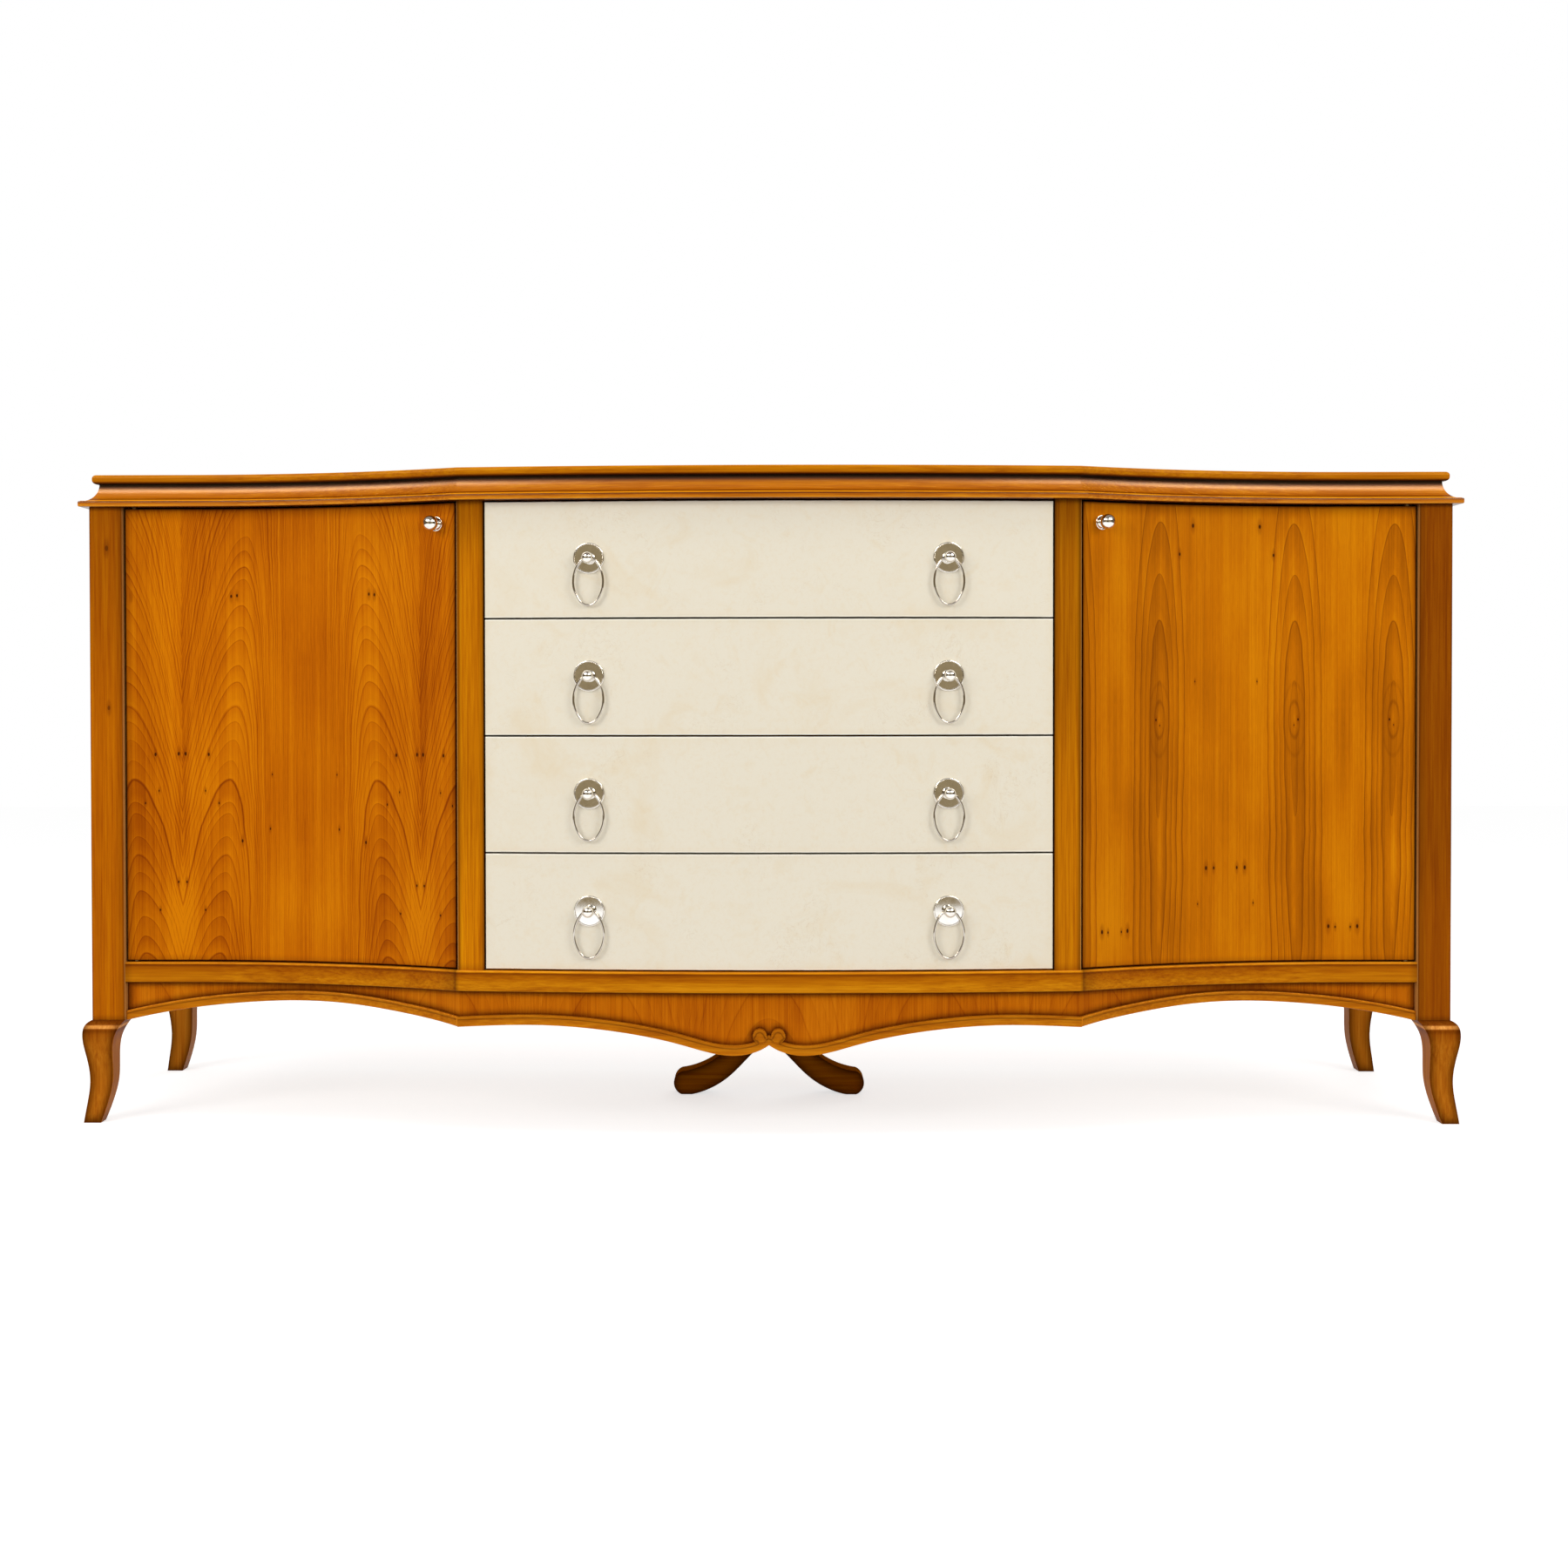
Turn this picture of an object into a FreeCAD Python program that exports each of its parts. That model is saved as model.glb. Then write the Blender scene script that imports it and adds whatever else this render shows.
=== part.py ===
import FreeCAD, Part
import math
import os

vec = FreeCAD.Vector
up = vec(0, 0, 1)

# Case, measured over the posts, in millimetres
case_width = 1975.0
case_depth = 465.0
leg_height = 149.0
apron_height = 54.5
rail_height = 29.5
rail_depth = 30.0
rail_setback = 1.0
reveal = 2.5

# Drawers and the stiles beside them
drawer_count = 4
drawer_face_height = 162.5
drawer_face_width = 799.0
stile_width = 38.0
stile_setback = 5.0
front_setback = 6.0
front_thickness = 20.0

# Plan of the front: flat at the posts, hollow doors, a sharp corner, a bowed middle
flat_width = 92.0
corner_reach = 95.0
bow_rise = 24.5

# Posts, panels and boards
post_width = 48.5
post_depth = 48.5
post_round = 2.0
rear_post_width = 34.0
rear_post_depth = 32.0
side_inset = 4.0
side_thickness = 18.0
side_rise = 16.0
partition_thickness = 20.0
board_thickness = 18.0
back_thickness = 8.0
edge_round = 1.2

# Cornice and top
frame_depth = 34.0
ledge_width = 10.0
fillet_overhang = 12.5
fillet_height = 8.0
fillet_round = 2.0
cove_height = 26.0
cove_inset = 12.0
nosing_height = 13.5
nosing_inset = 3.5
nosing_round = 5.5
round_flats = 3

# Apron and its edge bead; drops are measured down from the rail
apron_setback = 14.0
bead_setback = 5.0
bead_height = 14.0
beak_drop = 51.0
bead_end_drop = 1.5
beak_spare = 10.0
arch_fall = 2.5
swag_fall = 0.6
arch_points = ((0.165, 36.5), (0.35, 26.5), (0.49, 25.0), (0.63, 28.5), (0.81, 38.0))
swag_points = ((0.28, 73.0), (0.48, 55.5), (0.73, 46.8))
curl_low_x = 50.0
curl_low_drop = 88.0
curl_turn_x = 24.0
curl_turn_drop = 84.5
curl_notch_drop = 73.0
lobe_x = 13.0
lobe_drop = 60.0
lobe_radius = 9.8
lobe_proud = 3.0

# Legs: share of the height, then how far the edge stands out from, or in from, the post
leg_outer = ((0.0, 10.0), (0.17, 6.3), (0.40, 2.7), (0.67, 7.5), (0.85, 11.3), (0.95, 8.6), (1.0, -1.0))
leg_inner = ((0.0, 15.0), (0.17, 23.3), (0.40, 30.5), (0.67, 31.5), (0.85, 35.5), (0.945, 42.5))

# Splayed foot under the middle
foot_front = 221.0
foot_thickness = 45.0
foot_span = 296.0
foot_toe_height = 36.0
foot_toe_length = 28.0
foot_brow = 12.0
foot_neck = 48.0
foot_crown = 84.0
foot_back_points = ((40.0, 104.0), (76.0, 61.5), (106.0, 44.0))
foot_under_points = ((28.0, 61.5), (63.0, 27.0), (99.0, 6.0))

# Shelves on pins
shelf_height = 560.0
shelf_setback = 60.0
shelf_clearance = 1.0
shelf_back_gap = 4.0
pin_radius = 2.5
pin_length = 18.0
pin_bury = 9.0
pin_inset = 70.0

# Drawer boxes on side runners
box_gap = 4.0
box_side = 15.0
box_back = 12.0
box_rise = 14.0
box_height = 128.0
box_back_gap = 60.0
tray_thickness = 6.0
tray_rise = 8.0
groove_depth = 8.5
groove_height = 16.6
runner_gap_side = 1.0
runner_gap_top = 0.3
runner_front_gap = 12.0

# Door pivots
pivot_edge = 12.0
pivot_back = 6.0
pivot_radius = 4.0
pivot_play = 0.05
pivot_bury = 16.0
pivot_reach = 8.0
bush_radius = 7.0
bush_length = 9.0

# Door knobs
knob_edge = 25.0
knob_drop = 29.3
knob_ball = 10.7
knob_ball_centre = 20.0
knob_collar = 10.5
knob_collar_length = 7.0
knob_neck = 6.0
knob_seat = 0.1

# Ring pulls
pull_x = 252.0
pull_rise = 1.5
rose_radius = 21.75
rose_thickness = 2.0
rose_rim = 2.2
rose_rim_height = 1.0
pull_neck = 4.2
pull_ball = 8.25
pull_ball_centre = 16.0
ring_eye = 2.3
ring_eye_depth = 6.2
ring_wire = 1.4
ring_width = 45.0
ring_length = 69.0
ring_crown = 14.5
spigot_radius = 2.5
spigot_length = 14.0

# Levels and widths that follow
half = case_width / 2
rail_z = leg_height + apron_height
floor_z = rail_z + rail_height
front_z = floor_z + reveal
drawer_pitch = drawer_face_height + reveal
case_top = front_z + drawer_count * drawer_pitch
front_top = case_top - reveal
cove_z = case_top + fillet_height
top_z = cove_z + cove_height
drawer_half = drawer_face_width / 2
stile_in = drawer_half + reveal
stile_out = stile_in + stile_width
corner_x = stile_out + reveal
door_in = corner_x
post_in = half - post_width
door_out = post_in - reveal
side_out = half - side_inset
side_in = side_out - side_thickness
rear_y = case_depth - rear_post_depth
back_y = case_depth - back_thickness
rail_back = -(rail_setback + rail_depth)
door_face = -front_setback
door_back = door_face - front_thickness

# Arcs of the plan
arc_start = post_in - flat_width
hollow_radius = ((arc_start - corner_x) ** 2 + corner_reach ** 2) / (2 * corner_reach)
bow_radius = (corner_x ** 2 + bow_rise ** 2) / (2 * bow_rise)
bow_front = -(corner_reach + bow_rise)
bow_centre = vec(0, bow_front + bow_radius, 0)
hollow_centre = vec(arc_start, -hollow_radius, 0)
spare_turn = 3.0
spare_reach = 1500.0


def hollow_slope(x):
    # Turn of the door's face at x, in radians
    return math.asin(max(arc_start - x, 0) / hollow_radius)


def bow_slope(x):
    return math.asin(x / bow_radius)


def corner_point(out):
    # Where the hollow and the bow meet, both moved out by the same amount
    ra = hollow_radius - out
    rb = bow_radius + out
    link = bow_centre - hollow_centre
    span = link.Length
    along = (ra * ra - rb * rb + span * span) / (2 * span)
    aside = math.sqrt(ra * ra - along * along)
    link.normalize()
    foot = hollow_centre + link * along
    across = link.cross(up) * aside
    wanted = vec(corner_x, -corner_reach, 0)
    return min((foot + across, foot - across), key=lambda p: (p - wanted).Length)


def front_y(x, out):
    # Front line of the plan at x, moved out towards the viewer
    x = abs(x)
    if x >= arc_start:
        return -out
    if x >= corner_point(out).x:
        return hollow_centre.y + math.sqrt((hollow_radius - out) ** 2 - (arc_start - x) ** 2)
    return bow_centre.y - math.sqrt((bow_radius + out) ** 2 - x * x)


def plan_point(x, out):
    return vec(x, front_y(x, out), 0)


def front_edges(out, x0, x1):
    # Edges of the front line from x0 to x1
    turn = corner_point(out).x
    stops = [x for x in (-arc_start, -turn, turn, arc_start) if x0 < x < x1]
    stops = [x0] + stops + [x1]
    edges = []
    for a, b in zip(stops, stops[1:]):
        mid = (a + b) / 2
        if abs(mid) > arc_start:
            edges.append(Part.makeLine(plan_point(a, out), plan_point(b, out)))
        else:
            edges.append(Part.Arc(plan_point(a, out), plan_point(mid, out), plan_point(b, out)).toShape())
    return edges


def face_of(edges):
    return Part.Face(Part.Wire(Part.__sortEdges__(edges)))


def curved_board(x0, x1, out, inner, z0, z1):
    # Upright board between two lines of the plan
    ends = [Part.makeLine(plan_point(x, out), plan_point(x, inner)) for x in (x0, x1)]
    face = face_of(front_edges(out, x0, x1) + front_edges(inner, x0, x1) + ends)
    board = face.extrude(vec(0, 0, z1 - z0))
    board.translate(vec(0, 0, z0))
    return board


def front_mass(out):
    # Everything in front of a line of the plan
    reach = half + spare_reach
    a, b = plan_point(-reach, out), plan_point(reach, out)
    c, d = vec(reach, -spare_reach, 0), vec(-reach, -spare_reach, 0)
    sides = [Part.makeLine(b, c), Part.makeLine(c, d), Part.makeLine(d, a)]
    return face_of(front_edges(out, -reach, reach) + sides).extrude(vec(0, 0, spare_reach))


def behind(shape, out):
    return shape.cut(front_mass(out))


def box(x0, x1, y0, y1, z0, z1):
    return Part.makeBox(x1 - x0, y1 - y0, z1 - z0, vec(x0, y0, z0))


def mirrored(shape):
    return shape.mirror(vec(0, 0, 0), vec(1, 0, 0))


def keep_side(shape, point, direction):
    # The part of a shape on one side of an upright plane
    size = 2 * spare_reach
    block = Part.makeBox(size, 2 * size, 2 * size, vec(0, -size, -size))
    block.Placement = FreeCAD.Placement(point, FreeCAD.Rotation(vec(1, 0, 0), direction))
    return shape.common(block)


def loop(place, start, *steps):
    # Face from straight steps (a point) and round ones (a middle and an end)
    edges = []
    here = start
    for step in steps + (start,):
        if isinstance(step[0], tuple):
            middle, there = step
            edges.append(Part.Arc(place(*here), place(*middle), place(*there)).toShape())
        else:
            there = step
            edges.append(Part.makeLine(place(*here), place(*there)))
        here = there
    return Part.Face(Part.Wire(edges))


def spline(points):
    curve = Part.BSplineCurve()
    curve.interpolate(points)
    return curve.toShape()


# The mitre at the corner of the front
mitre_point = corner_point(0)
mitre_line = mitre_point - corner_point(rail_back)
mitre_side = up.cross(mitre_line).normalize()


def middle_run(section):
    # A moulding along the bow, mitred at both corners
    face = section(lambda out, z: vec(0, bow_front - out, z))
    turn = math.degrees(bow_slope(corner_x)) + spare_turn
    face.rotate(bow_centre, up, -turn)
    run = face.revolve(bow_centre, up, 2 * turn)
    run = keep_side(run, mitre_point, mitre_side * -1)
    left = vec(-mitre_point.x, mitre_point.y, 0)
    return keep_side(run, left, vec(mitre_side.x, -mitre_side.y, 0))


def side_run(section, x_end):
    # A moulding along the right-hand hollow and its flat, mitred at the corner
    def place(out, z):
        return vec(arc_start, -out, z)
    turn = math.degrees(hollow_slope(corner_x)) + spare_turn
    arc = section(place).revolve(hollow_centre, up, turn)
    flat = section(place).extrude(vec(x_end - arc_start, 0, 0))
    return keep_side(arc.fuse(flat).removeSplitter(), mitre_point, mitre_side)


def end_run(section):
    # A moulding along the right-hand end, mitred at the post
    face = section(lambda out, z: vec(half + out, -spare_reach, z))
    run = face.extrude(vec(0, spare_reach + case_depth, 0))
    return keep_side(run, vec(half, 0, 0), vec(1, 1, 0))


def corner_run(section):
    # The front moulding carried past the post, mitred to the end moulding
    run = side_run(section, half + 2 * frame_depth)
    return keep_side(run, vec(half, 0, 0), vec(-1, -1, 0))


def strip_section(out, inner, z0, z1):
    return lambda place: loop(place, (inner, z0), (out, z0), (out, z1), (inner, z1))


def eased(front, z, radius, quarter):
    # A rounded arris of small flats, the lower or the upper quarter
    steps = [math.radians(90 * (quarter + step / round_flats)) for step in range(round_flats + 1)]
    return [(front - radius + radius * math.cos(a), z + radius * math.sin(a)) for a in steps]


def eased_front(front, z0, z1, radius):
    return eased(front, z0 + radius, radius, -1) + eased(front, z1 - radius, radius, 0)


def rail_section(place):
    nose = eased_front(-rail_setback, rail_z, floor_z, post_round)
    return loop(place, (rail_back, rail_z), *nose, (rail_back, floor_z))


def cornice_section(place):
    fillet = eased_front(fillet_overhang, case_top, cove_z, fillet_round)
    lip = fillet_overhang - fillet_round
    share = math.sqrt(0.5)
    cove = ((lip - (lip + cove_inset) * share, top_z - cove_height * share), (-cove_inset, top_z))
    return loop(place, (-frame_depth, case_top), *fillet, cove, (-frame_depth, top_z))


def nosing_section(place):
    inner, lid_z = ledge_width - frame_depth, top_z + nosing_height
    nose = eased_front(-nosing_inset, top_z, lid_z, nosing_round)
    return loop(place, (inner, top_z), *nose, (inner, lid_z))


def turned(profile, at, beta):
    # A turned piece about its own axis, set on the front at a point and a turn in plan
    edges = profile + [Part.makeLine(profile[-1].lastVertex().Point, profile[0].firstVertex().Point)]
    solid = Part.Face(Part.Wire(edges)).revolve(vec(0, 0, 0), up, 360)
    return placed(solid, at, beta)


def placed(shape, at, beta):
    shape.rotate(vec(0, 0, 0), vec(1, 0, 0), 90)
    shape.rotate(vec(0, 0, 0), up, math.degrees(beta))
    shape.translate(at)
    return shape


def outward(beta):
    return vec(math.sin(beta), -math.cos(beta), 0)


# The origin is under the middle of the whole depth, pulls included
pull_at = plan_point(pull_x, door_face)
pull_tip = pull_at + outward(bow_slope(pull_x)) * pull_ball_centre
front_reach = max(pull_ball - pull_tip.y, fillet_overhang - bow_front)
middle_y = (case_depth - front_reach) / 2


def save(name, *solids):
    shape = solids[0] if len(solids) == 1 else Part.makeCompound(list(solids))
    shape = shape.copy()
    shape.translate(vec(0, -middle_y, 0))
    shape.exportStep(os.path.join("parts", name + ".step"))
    volumes = [solid.Volume for solid in shape.Solids]
    print(name, len(volumes), shape.isValid(), round(sum(volumes) / 1000.0, 1))


def save_pair(name, solid):
    save(name + "_right", solid)
    save(name + "_left", mirrored(solid))


# Apron line: from the corner to the post, and from the middle to the corner
beak_x = corner_x - bead_setback / 2
beak_z = rail_z - beak_drop
apron_low = rail_z - 2 * beak_drop
bay = post_in - beak_x


def arch_curve(lift):
    points = [(beak_x - beak_spare, beak_z - arch_fall), (beak_x, beak_z)]
    points += [(beak_x + share * bay, rail_z - drop) for share, drop in arch_points]
    points.append((post_in, leg_height - bead_end_drop))
    return [vec(x, 0, z + lift) for x, z in points]


def swag_curve(lift):
    points = [(0, rail_z - curl_notch_drop), (curl_turn_x, rail_z - curl_turn_drop)]
    points.append((curl_low_x, rail_z - curl_low_drop))
    points += [(share * beak_x, rail_z - drop) for share, drop in swag_points]
    points += [(beak_x, beak_z), (beak_x + beak_spare, beak_z - swag_fall)]
    return [vec(x, 0, z + lift) for x, z in points]


def apron_prism(curve):
    # Everything between the apron's lower line and the rail
    low = curve(0)
    a, b = vec(low[0].x, 0, rail_z), vec(low[-1].x, 0, rail_z)
    lines = [Part.makeLine(low[-1], b), Part.makeLine(b, a), Part.makeLine(a, low[0])]
    return Part.Face(Part.Wire([spline(low)] + lines))


def bead_prism(curve):
    low, high = curve(0), curve(bead_height)
    ends = [Part.makeLine(low[-1], high[-1]), Part.makeLine(high[0], low[0])]
    return Part.Face(Part.Wire(Part.__sortEdges__([spline(low), spline(high)] + ends)))


def deep(face):
    # A flat outline of the front carried right through the depth
    solid = face.extrude(vec(0, 2 * case_depth, 0))
    solid.translate(vec(0, -case_depth, 0))
    return solid


def both_sides(solid):
    return solid.fuse(mirrored(solid)).removeSplitter()


def build_aprons():
    board = strip_section(-apron_setback, rail_back, apron_low, rail_z)
    bead = strip_section(-bead_setback, -apron_setback, apron_low, rail_z)
    curl = strip_section(lobe_proud - bead_setback, -apron_setback, apron_low, rail_z)
    save("apron_center", middle_run(board).common(both_sides(deep(apron_prism(swag_curve)))))
    save_pair("apron", side_run(board, post_in).common(deep(apron_prism(arch_curve))))
    save_pair("apron_bead", side_run(bead, post_in).common(deep(bead_prism(arch_curve))))
    lobe_at = vec(lobe_x, -case_depth, rail_z - lobe_drop)
    lobe = Part.makeCylinder(lobe_radius, 2 * case_depth, lobe_at, vec(0, 1, 0))
    band = middle_run(bead).common(both_sides(deep(bead_prism(swag_curve))))
    lobes = middle_run(curl).common(Part.makeCompound([lobe, mirrored(lobe)]))
    save("apron_bead_center", band.fuse(lobes.Solids).removeSplitter())


def bush_at(z):
    return vec(door_out - pivot_edge, front_setback + pivot_back, z)


def upright(radius, z0, z1):
    return Part.makeCylinder(radius, z1 - z0, bush_at(z0))


def build_base_and_cornice():
    low_seat = upright(bush_radius, floor_z - bush_length, floor_z)
    high_seat = upright(bush_radius, case_top, case_top + bush_length)
    bore_radius = pivot_radius + pivot_play
    save("base_rail_center", middle_run(rail_section))
    save_pair("base_rail", side_run(rail_section, post_in).cut(low_seat))
    save("cornice_center", middle_run(cornice_section))
    front, end = corner_run(cornice_section).cut(high_seat), end_run(cornice_section)
    save("cornice_right", front, end)
    save("cornice_left", mirrored(front), mirrored(end))
    nosings = [corner_run(nosing_section), end_run(nosing_section)]
    save("top_nosing", middle_run(nosing_section), *nosings, *[mirrored(n) for n in nosings])
    low_bush = low_seat.cut(upright(bore_radius, floor_z - bush_length, floor_z))
    high_bush = high_seat.cut(upright(bore_radius, case_top, case_top + bush_length))
    save("pivot_sockets", low_bush, high_bush, mirrored(low_bush), mirrored(high_bush))


def shelf_pins():
    # Four pins of the right-hand shelf, and the side of the bay that each stands in
    partition_out = stile_in + partition_thickness
    pins = []
    for x, turn in ((partition_out - pin_bury, 1), (side_in + pin_bury, -1)):
        front = front_y(x, -shelf_setback) + pin_inset
        for y in (front, rear_y - shelf_back_gap - pin_inset):
            at = vec(x, y, shelf_height - pin_radius)
            pins.append(Part.makeCylinder(pin_radius, pin_length, at, vec(turn, 0, 0)))
    return pins


def build_case():
    pins = shelf_pins()
    post = box(post_in, half, 0, post_depth, leg_height, case_top)
    arrises = [e for e in post.Edges if e.Length > post_width + post_depth and e.CenterOfMass.y < 1]
    save_pair("corner_post", post.makeFillet(post_round, arrises))
    side = box(side_in, side_out, post_depth, rear_y, leg_height + side_rise, case_top)
    save_pair("side_panel", side.cut(pins))
    stile = curved_board(stile_in, stile_out, -stile_setback, rail_back, floor_z, case_top)
    edges = [e for e in stile.Edges if e.Length > stile_width + rail_depth]
    edges = [e for e in edges if e.CenterOfMass.y < front_y(e.CenterOfMass.x, rail_back / 2)]
    save_pair("stile", stile.makeFillet(edge_round, edges))
    partition_out = stile_in + partition_thickness
    partition = box(stile_in, partition_out, -case_depth, back_y, floor_z, case_top)
    save_pair("partition", behind(partition, rail_back).cut(pins))
    rear_post = box(half - rear_post_width, half, rear_y, case_depth, leg_height, case_top)
    floor = behind(box(-side_in, side_in, -case_depth, back_y, floor_z - board_thickness, floor_z), rail_back)
    save("carcass_bottom", floor.cut([post, rear_post, mirrored(post), mirrored(rear_post)]))
    inner = half - frame_depth
    roof = box(-inner, inner, -case_depth, back_y, case_top, case_top + board_thickness)
    save("carcass_top", behind(roof, -frame_depth))
    back_half = half - max(rear_post_width, frame_depth)
    save("back_panel", box(-back_half, back_half, back_y, case_depth, floor_z - board_thickness, top_z))
    ledge = inner + ledge_width
    lid = box(-ledge, ledge, -case_depth, case_depth, top_z, top_z + nosing_height)
    save("top_panel", behind(lid, ledge_width - frame_depth))
    shelf_in, shelf_out = partition_out + shelf_clearance, side_in - shelf_clearance
    shelf_back = rear_y - shelf_back_gap
    shelf = box(shelf_in, shelf_out, -case_depth, shelf_back, shelf_height, shelf_height + board_thickness)
    shelf = behind(shelf, -shelf_setback)
    save("shelves", shelf, mirrored(shelf))
    save("shelf_pins", *pins, *[mirrored(pin) for pin in pins])


def leg_face(place, inner_top):
    outer = [place(out, share * leg_height) for share, out in leg_outer]
    inner = [place(-back, share * leg_height) for share, back in leg_inner + ((1.0, inner_top),)]
    lines = [Part.makeLine(outer[0], inner[0]), Part.makeLine(outer[-1], inner[-1])]
    return Part.Face(Part.Wire(Part.__sortEdges__([spline(outer), spline(inner)] + lines)))


def build_legs():
    across = deep(leg_face(lambda out, z: vec(half + out, 0, z), post_width))
    along = leg_face(lambda out, z: vec(0, -out, z), post_depth).extrude(vec(2 * half, 0, 0))
    save_pair("leg_front", across.common(along))
    slab = box(0, 2 * half, rear_y, case_depth, 0, leg_height)
    rear_post = box(half - rear_post_width, half, rear_y, case_depth, leg_height, case_top)
    save_pair("leg_back", across.common(slab).fuse(rear_post))


def build_foot():
    neck, tip = foot_neck / 2, foot_span / 2
    heel = tip - foot_toe_length
    brow = tip - foot_brow
    top = floor_z - board_thickness
    back = [vec(neck, 0, top)] + [vec(x, 0, z) for x, z in foot_back_points] + [vec(brow, 0, foot_toe_height)]
    under = [vec(0, 0, foot_crown)] + [vec(x, 0, z) for x, z in foot_under_points] + [vec(heel, 0, 0)]
    toe = Part.Arc(back[-1], vec(tip, 0, foot_toe_height / 2), vec(brow, 0, 0)).toShape()
    edges = [spline(back), toe, Part.makeLine(vec(brow, 0, 0), under[-1]), spline(under)]
    edges += [Part.makeLine(under[0], vec(0, 0, top)), Part.makeLine(vec(0, 0, top), back[0])]
    arm = Part.Face(Part.Wire(Part.__sortEdges__(edges))).extrude(vec(0, foot_thickness, 0))
    arm.translate(vec(0, foot_front, 0))
    save("center_foot", both_sides(arm))


def round_front(board, out):
    # Ease the four edges of a board's front face
    edges = []
    for edge in board.Edges:
        points = [edge.valueAt(edge.FirstParameter), edge.valueAt(edge.LastParameter)]
        if all(abs(p.y - front_y(p.x, out)) < 0.01 for p in points):
            edges.append(edge)
    return board.makeFillet(edge_round, edges)


def line_of(*points):
    spots = [vec(r, 0, t) for r, t in points]
    return [Part.makeLine(a, b) for a, b in zip(spots, spots[1:])]


def ball_end(radius, centre, neck):
    root = centre - math.sqrt(radius ** 2 - neck ** 2)
    return root, Part.Arc(vec(neck, 0, root), vec(radius, 0, centre), vec(0, 0, centre + radius)).toShape()


def build_doors():
    door = curved_board(door_in, door_out, door_face, door_back, front_z, front_top)
    door = round_front(door, door_face)
    low_pin = upright(pivot_radius, floor_z - pivot_reach, front_z + pivot_bury)
    high_pin = upright(pivot_radius, front_top - pivot_bury, case_top + pivot_reach)
    knob_x = door_in + knob_edge
    at = plan_point(knob_x, door_face) + vec(0, 0, front_top - knob_drop)
    beta = hollow_slope(knob_x)
    spigot = placed(Part.makeCylinder(spigot_radius, 2 * spigot_length, vec(0, 0, -spigot_length)), at, beta)
    save_pair("door", door.cut([low_pin, high_pin, spigot]))
    save("door_pivots_right", low_pin, high_pin)
    save("door_pivots_left", mirrored(low_pin), mirrored(high_pin))
    root, ball = ball_end(knob_ball, knob_ball_centre, knob_neck)
    shank = line_of((0, -spigot_length), (spigot_radius, -spigot_length), (spigot_radius, knob_seat),
                    (knob_collar, knob_seat), (knob_collar, knob_collar_length),
                    (knob_neck, knob_collar_length), (knob_neck, root))
    save_pair("door_knob", turned(shank + [ball], at, beta))


def ring_solid():
    # An oval of four tangent arcs, hung in the eye behind the ball
    wide, long = ring_width / 2 - ring_wire, ring_length / 2 - ring_wire
    flank = (wide ** 2 + (long - ring_crown) ** 2 - ring_crown ** 2) / (2 * (wide - ring_crown))
    meet = math.atan2(long - ring_crown, flank - wide)
    arcs = ((0, long - ring_crown, ring_crown, meet, math.pi - 2 * meet),
            (flank - wide, 0, flank, math.pi - meet, 2 * meet),
            (0, ring_crown - long, ring_crown, math.pi + meet, math.pi - 2 * meet),
            (wide - flank, 0, flank, -meet, 2 * meet))
    spans = []
    for x, y, radius, start, turn in arcs:
        centre = vec(x, y, 0)
        at = centre + vec(math.cos(start), math.sin(start), 0) * radius
        wire = Part.makeCircle(ring_wire, at, vec(-math.sin(start), math.cos(start), 0))
        spans.append(Part.Face(Part.Wire(wire)).revolve(centre, up, math.degrees(turn)))
    ring = spans[0].multiFuse(spans[1:]).removeSplitter().Solids[0]
    sag = ring_crown - math.sqrt(ring_crown ** 2 - pull_neck ** 2)
    ring.translate(vec(0, sag / 2 - long, ring_eye_depth))
    return ring


def pull_solid(at, beta):
    root, ball = ball_end(pull_ball, pull_ball_centre, pull_neck)
    rim = rose_radius - rose_rim
    crest = rose_thickness + rose_rim_height
    shank = line_of((0, -spigot_length), (spigot_radius, -spigot_length), (spigot_radius, 0), (rose_radius, 0),
                    (rose_radius, crest), (rim, crest), (rim, rose_thickness), (pull_neck, rose_thickness),
                    (pull_neck, root))
    eye = Part.makeCylinder(ring_eye, 4 * pull_neck, vec(-2 * pull_neck, 0, ring_eye_depth), vec(1, 0, 0))
    return turned(shank + [ball], at, beta).cut(placed(eye, at, beta))


def build_drawer(number):
    low = front_z + (drawer_count - number) * drawer_pitch
    name = "drawer_%d_" % number
    front = curved_board(-drawer_half, drawer_half, door_face, door_back, low, low + drawer_face_height)
    front = round_front(front, door_face)
    at = pull_at + vec(0, 0, low + drawer_face_height / 2 + pull_rise)
    beta = bow_slope(pull_x)
    spigot = placed(Part.makeCylinder(spigot_radius, 2 * spigot_length, vec(0, 0, -spigot_length)), at, beta)
    save(name + "front", front.cut([spigot, mirrored(spigot)]))
    pull = pull_solid(at, beta)
    save(name + "pulls", pull, mirrored(pull))
    save_pair(name + "ring", placed(ring_solid(), at, beta))

    outer = stile_in - box_gap
    inner = outer - box_side
    box_low = low + box_rise
    box_end = back_y - box_back_gap
    tail = box_end - box_back
    side = behind(box(inner, outer, -case_depth, box_end, box_low, box_low + box_height), door_back)
    groove_low = box_low + (box_height - groove_height) / 2
    groove_top = groove_low + groove_height
    side = side.cut(box(outer - groove_depth, half, -case_depth, case_depth, groove_low, groove_top))
    tray_low = box_low + tray_rise
    tray = behind(box(-inner, inner, -case_depth, tail, tray_low, tray_low + tray_thickness), door_back)
    back = box(-inner, inner, tail, box_end, box_low, box_low + box_height)
    save(name + "box", side, mirrored(side), tray, back)

    runner_in = outer - groove_depth + runner_gap_side
    runner_front = front_y(stile_in, rail_back) + runner_front_gap
    return box(runner_in, stile_in, runner_front, back_y, groove_low + runner_gap_top, groove_top - runner_gap_top)


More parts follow.
